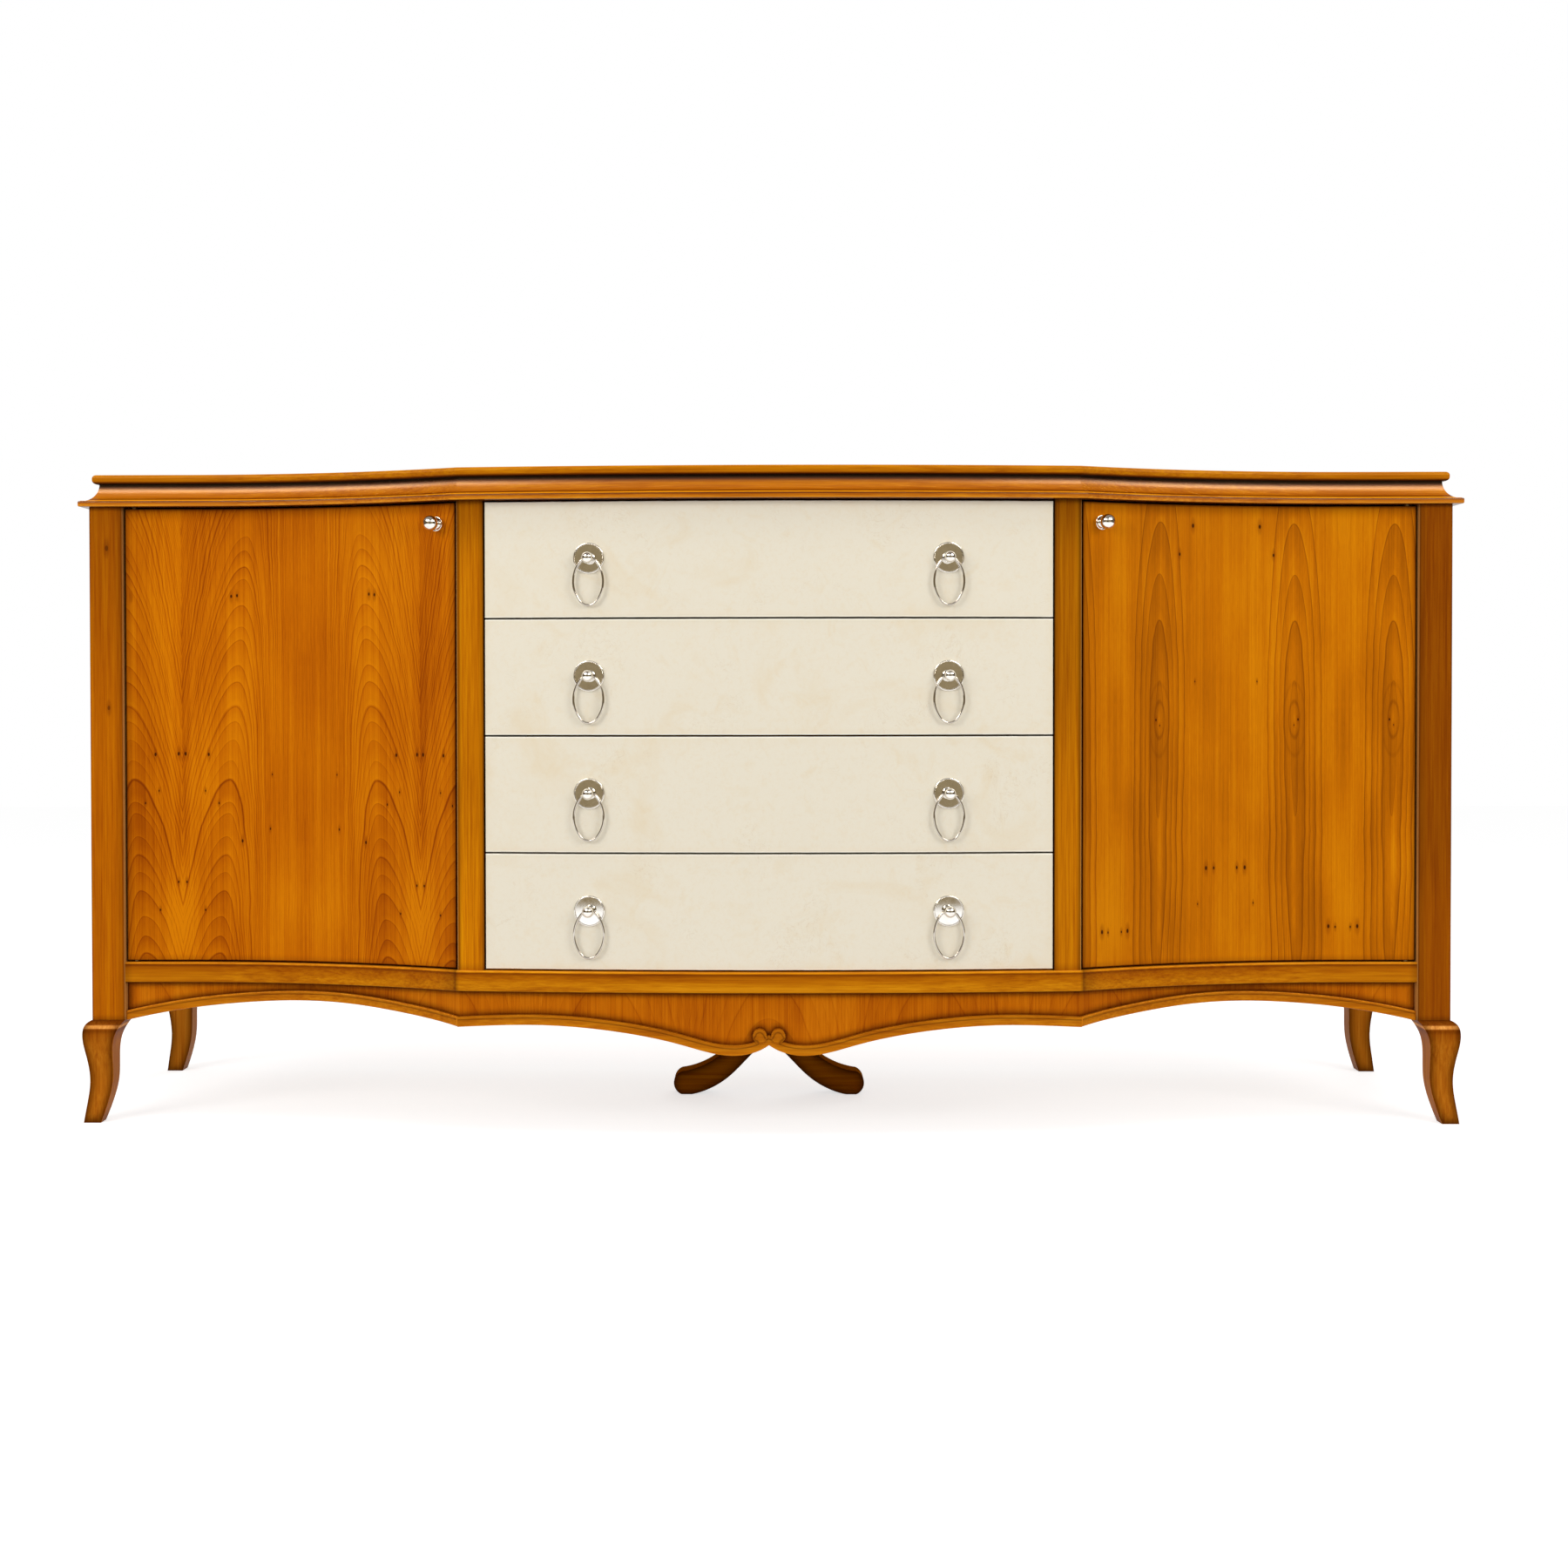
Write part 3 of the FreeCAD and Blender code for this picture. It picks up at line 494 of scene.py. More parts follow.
def parchmentFinish():
    material, tree = newFinish("parchmentFinish")
    x, y, z = objectXyz(tree)
    lie = joinXyz(tree, x, y, z)
    soft, mottle, grit, patch, where, crease = (
        noiseOf(tree, lie, *skin[k]) for k in ("soft", "mottle", "grit", "patch", "where", "crease"))
    patch = ease(tree, patch, *skin["patchCut"])
    crease = calc(tree, "abs", calc(tree, "-", crease, 0.5))
    veins = calc(tree, "*", ease(tree, crease, 0.0, skin["creaseWidth"], 1.0, 0.0),
                 ease(tree, where, *skin["whereCut"]))
    clouds = calc(tree, "*", ease(tree, soft, *skin["softCut"]), skin["cloudShare"])
    colour = blendColour(tree, clouds, skin["base"], skin["cloud"])
    mottle = ease(tree, mottle, *skin["mottleCut"], 0.0, skin["mottleShare"])
    colour = blendColour(tree, mottle, colour, skin["cloud"])
    colour = blendColour(tree, calc(tree, "*", patch, skin["patchShare"]), colour, skin["cloud"])
    colour = blendColour(tree, calc(tree, "*", veins, skin["veinShare"]), colour, skin["vein"])
    up = calc(tree, "MODULO", calc(tree, "-", z, levels["fronts"]), levels["pitch"])
    rub = calc(tree, "max", ease(tree, up, 0.0, *skin["rub"], 0.0),
               towards(tree, up, skin["faceHeight"], *skin["rub"]))
    # painted shadow at the top of each face, under the part above; darker toward the foot and the sides
    shadowAndDarkening = calc(tree, "max", ease(tree, up, 0.0, *skin["footDarkening"], 0.0),
                 towards(tree, up, skin["faceHeight"], *skin["topShadow"]))
    shadowAndDarkening = calc(tree, "max", shadowAndDarkening, towards(tree, calc(tree, "abs", x), skin["faceHalf"], *skin["sideDarkening"]))
    shadowAndDarkening = calc(tree, "*", shadowAndDarkening, calc(tree, "+", soft, skin["darkeningLift"]))
    colour = blendColour(tree, shadowAndDarkening, colour, skin["cloud"])
    colour = blendColour(tree, rub, colour, skin["edge"])
    rough = swing(tree, soft, skin["roughSwing"], skin["roughness"])
    relief = calc(tree, "*+", patch, skin["sunk"], calc(tree, "*", veins, skin["sunk"]))
    relief = calc(tree, "*+", grit, skin["gritRelief"], relief)
    closeFinish(tree, colour, rough, relief, skin["relief"], Coat_Weight=0.18, Coat_Roughness=0.16)
    return material


polish = dict(haze=(90.0, 4.0, 0.6), wipe=(3.0, 0.4, 700.0, 3.0, 0.6), tones=(0.3, 0.7), uneven=0.05,
              relief=0.000004)


def metalFinish(name, dark, light, roughness):
    material, tree = newFinish(name)
    x, y, z = objectXyz(tree)
    haze = noiseOf(tree, joinXyz(tree, x, y, z), *polish["haze"])
    wipe = stretched(tree, x, y, z, *polish["wipe"])
    colour = ramp(tree, haze, *zip(polish["tones"], (dark, light)))
    rough = calc(tree, "*+", wipe, polish["uneven"], roughness - polish["uneven"])
    rough = calc(tree, "*+", haze, polish["uneven"], rough)
    closeFinish(tree, colour, rough, wipe, polish["relief"], Metallic=1.0)
    return material


# veneer leaves: joint and crown are measured along the front, from where the hollow starts
leftLeaf = dict(leaf=0.184, joint=-0.008, crown=0.071, level=0.49, drift=0.072, flank=46.0, flare=1330.0,
                quarter=110.0, ring=0.028, wave=1.2, waveAcross=0.4, sway=0.012, seed=3.1, phase=7.3,
                fade=(120.0, 700.0, 1.0, 0.45), base=0.595, fibre=0.60, faint=0.42,
                turnover=0.07, turnAcross=(-0.075, -0.03), turnUp=(0.40, 0.55),
                patches=((0.0, 0.30, 0.032, 0.15, 0.26), (0.066, 0.42, 0.045, 0.15, -0.12),
                         (0.06, 0.28, 0.040, 0.14, -0.17), (0.15, 0.31, 0.060, 0.13, 0.13),
                         (0.06, 0.74, 0.040, 0.12, 0.05)))
rightLeaf = dict(leaf=0.1757, joint=0.0145, crown=0.071, level=0.49, drift=0.006, ovalWide=0.0078,
                 ovalTall=0.072, ovalDeep=0.20, ovalLevel=0.585, wave=0.30, waveAcross=0.8, sway=0.007,
                 seed=8.4, phase=8.1, fade=(4.8, 6.0, 1.0, 0.12), base=0.60, fibre=0.48, faint=0.60,
                 heart=(0.9, 2.0, 0.45), eye=(0.0080, 0.026, 0.17), depth=1.05,
                 dark=((0.290, 0.068, 0.0008), (0.430, 0.108, 0.0008)),
                 patches=((0.071, 0.555, 0.020, 0.18, -0.11), (0.071, 0.584, 0.006, 0.026, 0.14),
                          (0.072, 0.40, 0.005, 0.09, 0.18), (0.072, 0.295, 0.004, 0.06, 0.16),
                          (0.071, 0.50, 0.050, 0.80, -0.10), (0.1757, 0.55, 0.040, 0.70, -0.09),
                          (0.0, 0.30, 0.045, 0.30, 0.09), (0.03, 0.56, 0.030, 0.14, 0.13),
                          (0.1757, 0.30, 0.050, 0.12, 0.10)))
apronLeaf = dict(leaf=0.23, joint=0.115, crown=0.115, level=0.17, drift=0.0, flank=24.0, flare=0.0,
                 quarter=24.0, ring=0.05, wave=1.0, waveAcross=0.5, sway=0.02, seed=5.7, phase=5.7,
                 fade=(10.0, 150.0, 0.55, 0.20), base=0.54, fibre=0.62, faint=0.25)
boardLeaf = dict(leaf=0.24, joint=0.02, crown=0.09, level=0.0, drift=0.03, flank=40.0, flare=0.0,
                 quarter=60.0, ring=0.04, wave=1.6, waveAcross=0.6, sway=0.03, seed=12.6, phase=12.6,
                 fade=(50.0, 330.0, 0.8, 0.15), base=0.54, fibre=0.60, faint=0.25)

# knots: place on the leaf or post, level, size
leftKnots = ((0.039, 0.536, 0.0026), (0.005, 0.537, 0.0028), (0.0735, 0.766, 0.0024), (0.0822, 0.767, 0.0024),
             (0.0886, 0.410, 0.0024), (0.1308, 0.428, 0.0018), (0.134, 0.507, 0.0014), (0.006, 0.350, 0.0020),
             (0.054, 0.465, 0.0018), (0.033, 0.309, 0.0018), (0.034, 0.483, 0.0016))
rightKnots = ((0.146, 0.3715, 0.0030), (0.158, 0.3715, 0.0024), (0.021, 0.285, 0.0030), (0.011, 0.284, 0.0018),
              (0.1245, 0.863, 0.0030), (0.1037, 0.822, 0.0024), (0.133, 0.320, 0.0014), (0.128, 0.640, 0.0014),
              (0.0665, 0.585, 0.0020), (0.0725, 0.577, 0.0012))
postKnots = ((0.962, 0.836, 0.0036), (0.960, 0.604, 0.0030))


def bandsAt(axis, edge, *steps):
    # shades that start at one edge: where each ends, how dark, or below nothing how bright a painted highlight
    return [(axis, edge, clear, depth) for clear, depth in steps]


# painted shade round each door: in the gaps by the post, stile and rail, and under the cornice, with glaze
doorBands = (bandsAt("z", levels["frontTop"], (0.872, 0.38), (0.8885, 0.60))
             + bandsAt("z", levels["fronts"], (0.246, 0.30), (0.238, 0.5))
             + bandsAt("side", plan["doorOut"], (0.924, 0.32), (0.9335, 0.6))
             + bandsAt("side", plan["cornerX"], (0.456, 0.34), (0.446, 0.5)))
# posts: painted shade by the door and under the cornice, a painted highlight on the inner arris, darker at the
# outer edge and the foot
postBands = (bandsAt("side", plan["postIn"], (0.9435, 0.60), (0.956, 0.30), (0.9406, -0.6))
             + bandsAt("side", plan["half"], (0.984, 0.35))
             + bandsAt("z", levels["caseTop"], (0.889, 0.6)) + bandsAt("z", levels["postFoot"], (0.158, 0.40)))
# stiles: painted shade in the gaps either side, under the cornice and above the rail, a dark line and a painted
# highlight on the arris by the door
stileBands = (bandsAt("side", plan["stileIn"], (0.411, 0.40), (0.4045, 0.5))
              + bandsAt("side", plan["stileOut"], (0.431, 0.40))
              + bandsAt("side", plan["stileArrisEdge"], (0.434, 0.45))
              + bandsAt("side", plan["stileOut"], (0.4384, -0.85))
              + bandsAt("z", levels["caseTop"], (0.79, 0.36), (0.889, 0.5))
              + bandsAt("z", levels["floor"], (0.246, 0.3)))
wingBands = (bandsAt("side", plan["cornerX"], (0.475, 0.35), (0.448, 0.45))
             + bandsAt("side", plan["postIn"], (0.925, 0.35)))

# glaze, painted highlights and painted shade on the mouldings: how far up the section, what the wood is multiplied
# by
# rail: painted shade along the bottom edge, a painted highlight on the top arris, glaze bands between
railGlazeAndPaintedLight = ((0.0, (0.30, 0.24, 0.2)), (0.03, (1.0, 1.1, 3.0)), (0.10, (0.98, 1.0, 2.0)),
             (0.20, (1.08, 1.2, 2.5)), (0.40, (0.98, 1.0, 1.5)), (0.58, (0.87, 0.79, 0.9)),
             (0.70, (0.78, 0.68, 0.6)), (0.78, (0.66, 0.53, 0.4)), (0.84, (0.45, 0.32, 0.2)),
             (0.885, (0.38, 0.26, 0.15)), (0.915, (0.9, 0.8, 0.6)), (0.94, (1.30, 1.4, 2.0)),
             (0.985, (1.4, 1.6, 8.0)))
# cornice: painted shade under the fillet and in the groove below the nosing, painted highlights on the fillet's
# edges and in the cove, glaze lines between
corniceGlazeAndPaintedLight = ((0.0, (0.30, 0.22, 0.15)), (0.02, (1.2, 1.45, 1.4)), (0.06, (1.16, 1.3, 1.0)),
                (0.10, (0.95, 0.93, 0.7)), (0.14, (0.84, 0.76, 0.5)), (0.165, (0.66, 0.55, 0.4)),
                (0.19, (0.28, 0.20, 0.12)), (0.222, (0.24, 0.16, 0.10)), (0.238, (1.4, 1.7, 4.0)),
                (0.298, (1.7, 2.2, 6.0)), (0.318, (0.5, 0.4, 0.3)), (0.35, (0.36, 0.26, 0.18)),
                (0.385, (0.85, 0.75, 0.6)), (0.46, (1.02, 0.98, 0.85)), (0.60, (1.12, 1.16, 1.2)),
                (0.70, (1.05, 1.06, 1.1)), (0.78, (0.60, 0.52, 0.45)), (0.84, (0.24, 0.16, 0.10)),
                (0.90, (0.05, 0.03, 0.02)), (0.95, (0.02, 0.01, 0.01)))
# nosing: painted shadow along its underside, a painted highlight on its top edge
nosingGlazeAndPaintedLight = ((0.0, (0.03, 0.02, 0.02)), (0.09, (0.12, 0.08, 0.05)), (0.19, (0.45, 0.37, 0.3)),
               (0.30, (0.95, 0.95, 0.95)), (0.60, (1.0, 1.0, 1.0)), (0.86, (1.1, 1.12, 1.0)),
               (0.96, (1.35, 1.5, 4.0)))
# knee: a painted highlight on its top edge between glaze bands, darker at the very top
kneeGlazeAndPaintedLight = ((0.10, (1.0, 1.0, 1.0)), (0.46, (0.72, 0.62, 0.5)), (0.60, (0.46, 0.35, 0.25)),
             (0.66, (0.60, 0.48, 0.35)), (0.70, (1.7, 2.3, 9.0)), (0.775, (1.7, 2.3, 9.0)),
             (0.82, (0.55, 0.44, 0.35)), (0.975, (0.28, 0.20, 0.15)))
railStripes = (levels["rail"], levels["floor"], railGlazeAndPaintedLight)
corniceStripes = (levels["caseTop"], levels["top"], corniceGlazeAndPaintedLight)
nosingStripes = (levels["top"], levels["height"], nosingGlazeAndPaintedLight)
kneeStripes = (levels["kneeLow"], levels["kneeHigh"], kneeGlazeAndPaintedLight)

finishes = dict(
    doorLeft=veneer("cherryDoorLeft", "arc", "z", leftLeaf,
                    doorBands + bandsAt("side", plan["doorOut"], (0.860, 0.16)), leftKnots, (0.91, 0.85, 0.6)),
    doorRight=veneer("cherryDoorRight", "arc", "z", rightLeaf, doorBands, rightKnots, (0.92, 0.95, 0.8)),
    doorBack=veneer("cherryDoorInside", "side", "z", boardLeaf),
    apron=veneer("cherryApron", "x", "z", apronLeaf, tint=(0.92, 0.88, 2.0), recess="recess"),
    topBoard=veneer("cherryTop", "y", "x", boardLeaf, tint=(0.95, 1.0, 1.0)),
    backBoard=veneer("cherryBack", "x", "z", boardLeaf, bandsAt("z", levels["caseTop"], (0.87, 0.5))
                     + bandsAt("z", levels["boardFoot"], (0.19, 0.5)), tint=(0.70, 0.66, 4.0)),
    # sides: painted shade under the cornice, darker toward the foot
    sideBoard=veneer("cherrySide", "y", "z", boardLeaf, bandsAt("z", levels["caseTop"], (0.86, 0.5))
                     + bandsAt("z", levels["boardFoot"], (0.18, 0.4))),
    # the left post also darker going up: painted shade
    postLeft=solidCherry("cherryPostLeft", "z", (0.79, 0.75, 0.3),
                         postBands + bandsAt("z", levels["caseTop"], (0.50, 0.36)), knots=postKnots),
    postRight=solidCherry("cherryPostRight", "z", (0.53, 0.47, 0.3), postBands + bandsAt("z", 0.42, (0.28, 0.17))),
    stileLeft=solidCherry("cherryStileLeft", "z", (1.06, 1.28, 0.9),
                          stileBands + bandsAt("z", 0.45, (0.31, 0.13))),
    stileRight=solidCherry("cherryStileRight", "z", (0.92, 1.08, 0.9),
                           stileBands + bandsAt("z", 0.70, (0.42, 0.30))),
    rail=solidCherry("cherryRail", "x", (0.95, 1.16, 1.4), bandsAt("side", plan["cornerX"], (0.437, 0.45)),
                     railStripes),
    railWing=solidCherry("cherryRailWing", "x", (0.86, 0.98, 1.0), wingBands, railStripes),
    cornice=solidCherry("cherryCornice", "x", (0.92, 1.00, 0.5), stripes=corniceStripes, gloss=0.42,
                        sheen=(1.0, 0.84, 0.55, 1.0)),
    nosing=solidCherry("cherryNosing", "x", (0.80, 0.93, 0.4), stripes=nosingStripes, gloss=0.12),
    leg=solidCherry("cherryLeg", "z", (0.80, 0.91, 8.0), bandsAt("z", 0.0, (0.022, 0.40)), kneeStripes,
                    gloss=0.015, recess="recess"),
    legBack=solidCherry("cherryLegBack", "z", (0.78, 0.90, 8.0), bandsAt("z", levels["boardFoot"], (0.12, 0.40))
                        + bandsAt("z", 0.0, (0.022, 0.30)), gloss=0.015, recess="recess"),
    foot=solidCherry("cherryFoot", "x", (0.50, 0.54, 1.0), bandsAt("z", 0.12, (0.06, 0.3)), gloss=0.0,
                     recess="recess"),
    bead=solidCherry("cherryBead", "x", (1.0, 1.15, 4.0), gloss=0.12, scribe=0.0042),
    # a lighter finish for eased edges: a painted highlight
    arris=solidCherry("cherryArrisHighlight", "z", (1.10, 1.30, 8.0)),
    # the leg's eased edges, darker, with the knee's painted highlight
    darkArris=solidCherry("cherryDarkArris", "z", (0.74, 0.80, 5.0), stripes=kneeStripes, gloss=0.02),
    inside=innerWood("insideUpright", "z"),
    insideFlat=innerWood("insideLevel", "x"),
    insideDeep=innerWood("insideDeep", "y"),
    parchment=parchmentFinish(),
    nickel=metalFinish("polishedNickel", (0.74, 0.71, 0.66), (0.86, 0.84, 0.80), 0.07),
    # the ring wire in a darker nickel than the pulls
    wire=metalFinish("darkerNickel", (0.48, 0.44, 0.39), (0.60, 0.56, 0.50), 0.09),
    brass=metalFinish("agedBrass", (0.115, 0.070, 0.026), (0.210, 0.138, 0.056), 0.38),
)
print("finishes made:", len(finishes))


def wear(finish, *names):
    for name in names:
        for slot in nodes[name].material_slots:
            slot.material = finishes[finish]


wear("topBoard", "top_panel")
wear("backBoard", "back_panel")
wear("sideBoard", "side_panel_left", "side_panel_right")
wear("inside", "partition_left", "partition_right")
wear("insideFlat", "carcass_top", "carcass_bottom", "shelves")
wear("insideDeep", "drawer_runners", *("drawer_%d_box" % number for number in range(1, 5)))
wear("brass", "shelf_pins", "pivot_sockets", "door_pivots_left", "door_pivots_right")
for side in ("left", "right"):
    wear("post" + side.capitalize(), "corner_post_" + side)
    wear("stile" + side.capitalize(), "stile_" + side)


def place(mesh, name, body, slotName, *replaced, smooth=35):
    mesh.polygons.foreach_set("use_smooth", [True] * len(mesh.polygons))
    mesh.set_sharp_from_angle(angle=math.radians(smooth))
    piece = addObject(name, mesh)
    even = piece.modifiers.new("even", "WEIGHTED_NORMAL")
    even.keep_sharp = True
    solved = piece.evaluated_get(bpy.context.evaluated_depsgraph_get())
    piece.data = bpy.data.meshes.new_from_object(solved)
    piece.modifiers.clear()
    piece.data.name = name
    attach(piece, body)
    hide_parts(*replaced)


merging = dict(gap=3e-6, flat=0.2, sharp=40)


def mergedNode(node):
    # a merged copy of a solid, ready to work on
    work = bmesh.new()
    work.from_mesh(nodes[node].data)
    bmesh.ops.remove_doubles(work, verts=work.verts, dist=merging["gap"])
    bmesh.ops.dissolve_limit(work, angle_limit=math.radians(merging["flat"]), verts=work.verts, edges=work.edges)
    return work


def sharpEdges(work):
    sharp = math.radians(merging["sharp"])
    return [e for e in work.edges if len(e.link_faces) == 2 and e.calc_face_angle(0) > sharp]


def easeEdges(work, width):
    # arrises rounded over, and marked as the second finish
    bmesh.ops.bevel(work, geom=sharpEdges(work), offset=width, offset_type="OFFSET", segments=2, profile=0.5,
                    affect="EDGES", clamp_overlap=True, material=1)


def cutGrid(work, axes, grid):
    for axis in axes:
        spots = [v.co[axis] for v in work.verts]
        low, high = min(spots), max(spots)
        count = int((high - low) / grid)
        for i in range(1, count):
            at, normal = Vector((0, 0, 0)), Vector((0, 0, 0))
            at[axis], normal[axis] = low + (high - low) * i / count, 1
            bmesh.ops.bisect_plane(work, geom=work.verts[:] + work.edges[:] + work.faces[:], dist=1e-6,
                                   plane_co=at, plane_no=normal)


def toMesh(work, name, *items):
    mesh = bpy.data.meshes.new(name)
    work.to_mesh(mesh)
    work.free()
    for item in items:
        mesh.materials.append(finishes[item])
    return mesh


def remember(mesh, name, values):
    mesh.attributes.new(name, "FLOAT", "POINT").data.foreach_set("value", values)


def holdGlazeAndShade(mesh, gapAt, reach, depth):
    # each point remembers how near a corner is, for glaze and painted shade there
    held = []
    for vertex in mesh.vertices:
        gap = gapAt(vertex)
        held.append(0.0 if gap is None or gap > reach else depth * (1 - gap / reach) ** 2)
    remember(mesh, "recess", held)


def alongEdges(edges, step, top=9.0):
    # points along the edges, below the top, to measure from
    spots = []
    for e in edges:
        a, b = (v.co for v in e.verts)
        count = max(1, int(e.calc_length() / step))
        spots += [a.lerp(b, i / count) for i in range(count + 1)]
    spots = [spot for spot in spots if spot.z < top]
    near = KDTree(len(spots))
    for i, spot in enumerate(spots):
        near.insert(spot, i)
    near.balance()
    return near


beads = dict(grid=0.004, step=0.001, ease=0.0016, front=-0.5, up=0.15)


def dressBead(node):
    # each point remembers how far it is below the bead's top edge
    work = mergedNode(node)
    upper = [e for e in sharpEdges(work) if min(f.normal.y for f in e.link_faces) < beads["front"]
             and max(f.normal.z for f in e.link_faces) > beads["up"]]
    near = alongEdges(upper, beads["step"])
    easeEdges(work, beads["ease"])
    cutGrid(work, (0, 2), beads["grid"])
    mesh = toMesh(work, node, "bead", "arris")
    remember(mesh, "below", [near.find(v.co)[2] for v in mesh.vertices])
    place(mesh, node + "Dressed", "carcass", "cherry", node)


# each kind of leg: finish, finish of its arrises, their width, top of the glaze and painted shade
legs = dict(grid=0.004, reach=0.017, depth=0.95, step=0.002, front=-0.3,
            frontLeg=("leg", "darkArris", 0.0016, 0.14), backLeg=("legBack", "legBack", 0.0012, 0.16),
            middleFoot=("foot", "foot", 0.0014, 0.2))


def dressLeg(node, kind):
    finish, edgeFinish, width, top = legs[kind]
    work = mergedNode(node)
    near = alongEdges(sharpEdges(work), legs["step"], top)
    easeEdges(work, width)
    cutGrid(work, (0, 1, 2), legs["grid"])
    mesh = toMesh(work, node, finish, edgeFinish)
    # glaze and painted shade toward the edges of the front
    holdGlazeAndShade(mesh, lambda v: near.find(v.co)[2] if v.normal.y < legs["front"] else None,
              legs["reach"], legs["depth"])
    place(mesh, node + "Dressed", "carcass", "cherry", node)


for side in ("left", "right"):
    dressLeg("leg_front_" + side, "frontLeg")
    dressLeg("leg_back_" + side, "backLeg")
    dressBead("apron_bead_" + side)
dressBead("apron_bead_center")
dressLeg("center_foot", "middleFoot")
print("legs, foot and beads eased")

aprons = dict(grid=0.004, reach=0.012, depth=1.0)


def dressApron(side):
    node = "apron_" + side
    work = mergedNode(node)
    cutGrid(work, (0, 2), aprons["grid"])
    mesh = toMesh(work, node, "apron")
    # glaze and painted shade near the bead, the rail and the posts
    around = bmesh.new()
    for name in ("apron_bead_" + side, "base_rail_" + side, "corner_post_left", "corner_post_right"):
        around.from_mesh(nodes[name].data)
    near = BVHTree.FromBMesh(around)
    around.free()
    holdGlazeAndShade(mesh, lambda v: near.find_nearest(v.co, aprons["reach"])[3], aprons["reach"], aprons["depth"])
    place(mesh, node + "Dressed", "carcass", "cherry_veneer", node)


for side in ("left", "center", "right"):
    dressApron(side)
print("aprons glazed")

fronts = dict(inward=0.6, smooth=50)


def dressFront(node, body, slotName, face, back):
    # front and edges in the face finish, the inside in the back finish
    mesh = toMesh(mergedNode(node), node, face, back)
    for polygon in mesh.polygons:
        polygon.material_index = 1 if polygon.normal.y > fronts["inward"] else 0
    place(mesh, node + "Dressed", body, slotName, node, smooth=fronts["smooth"])


dressFront("door_left", "door_left", "cherry_veneer", "doorLeft", "doorBack")
dressFront("door_right", "door_right", "cherry_veneer", "doorRight", "doorBack")
for number in range(1, 5):
    dressFront("drawer_%d_front" % number, "drawer_%d" % number, "parchment", "parchment", "insideFlat")
print("doors and drawer fronts faced")


# helpers for geometry trees
def newGroup(name, *inputs):
    group = bpy.data.node_groups.new(name, "GeometryNodeTree")
    group.interface.new_socket(name="Geometry", in_out="INPUT", socket_type="NodeSocketGeometry")
    for label, kind in inputs:
        group.interface.new_socket(name=label, in_out="INPUT", socket_type="NodeSocket" + kind)
    group.interface.new_socket(name="Geometry", in_out="OUTPUT", socket_type="NodeSocketGeometry")
    return group, group.nodes.new("NodeGroupInput").outputs, group.nodes.new("NodeGroupOutput")


def namedVector(group, name):
    return addNode(group, "GeometryNodeInputNamedAttribute", ("data_type", "FLOAT_VECTOR"),
                   Name=name).outputs["Attribute"]


def vectorCalc(group, operation, a, b=None, scale=None):
    node = addNode(group, "ShaderNodeVectorMath", ("operation", operation))
    return feedInOrder(group, node, a, b, None, scale)  # the fourth socket is the scale


def closeGroup(group, out, mesh, material):
    real = addNode(group, "GeometryNodeRealizeInstances", Geometry=mesh)
    done = addNode(group, "GeometryNodeSetMaterial", Geometry=real.outputs[0], Material=material)
    group.links.new(done.outputs[0], out.inputs[0])
    return group


def wireMesh(name, runs, closed, **vectors):
    mesh = bpy.data.meshes.new(name)
    points, edges = [], []
    for run in runs:
        first = len(points)
        points += run
        edges += [(first + i, first + i + 1) for i in range(len(run) - 1)]
        if closed:
            edges.append((len(points) - 1, first))
    mesh.from_pydata(points, edges, [])
    for key, values in vectors.items():
        layer = mesh.attributes.new(key, "FLOAT_VECTOR", "POINT")
        layer.data.foreach_set("vector", [c for v in values for c in v])
    return mesh


def solveTree(group, mesh, **inputs):
    # the tree's result as a plain mesh
    holder = addObject("holder", mesh)
    step = holder.modifiers.new("tree", "NODES")
    step.node_group = group
    for item in group.interface.items_tree:
        if item.in_out == "INPUT" and item.name in inputs:
            step[item.identifier] = inputs[item.name]
    bpy.context.view_layer.update()
    made = bpy.data.meshes.new_from_object(holder.evaluated_get(bpy.context.evaluated_depsgraph_get()))
    holder.modifiers.clear()
    bpy.data.objects.remove(holder)
    work = bmesh.new()
    work.from_mesh(made)
    bmesh.ops.remove_doubles(work, verts=work.verts, dist=1e-6)
    bmesh.ops.recalc_face_normals(work, faces=work.faces)
    work.to_mesh(made)
    work.free()
    for key in [a.name for a in made.attributes if a.name in ("station", "outward", "section", "turn")]:
        made.attributes.remove(made.attributes[key])
    return made


# mouldings: a section carried along the front's plan, cut on the mitre
moulding = dict(bowSteps=60, hollowSteps=30, flatSteps=4, cutFront=0.0125, cutBack=-0.034, overhang=-0.0001,
                smooth=32)


def mouldingGroup():
    group, given, out = newGroup("mouldingRun", ("Section", "Object"), ("Lift", "Float"),
                                 ("Overhang", "Float"), ("Finish", "Material"))
    path = addNode(group, "GeometryNodeMeshToCurve", Mesh=given["Geometry"])
    shape = addNode(group, "GeometryNodeObjectInfo", Object=given["Section"])
    section = addNode(group, "GeometryNodeMeshToCurve", Mesh=shape.outputs["Geometry"])
    run = addNode(group, "GeometryNodeCurveToMesh", Curve=path.outputs[0],
                  Profile_Curve=section.outputs[0], Fill_Caps=True)
    parts = addNode(group, "ShaderNodeSeparateXYZ", Vector=namedVector(group, "section"))
    reach = calc(group, "+", parts.outputs[0], given["Overhang"])
    height = calc(group, "+", parts.outputs[1], given["Lift"])
    outward = vectorCalc(group, "SCALE", namedVector(group, "outward"), None, reach)
    spot = vectorCalc(group, "ADD", namedVector(group, "station"), outward)
    spot = vectorCalc(group, "ADD", spot, joinXyz(group, 0.0, 0.0, height))
    moved = addNode(group, "GeometryNodeSetPosition", Geometry=run.outputs[0], Position=spot)
    return closeGroup(group, out, moved.outputs[0], given["Finish"])


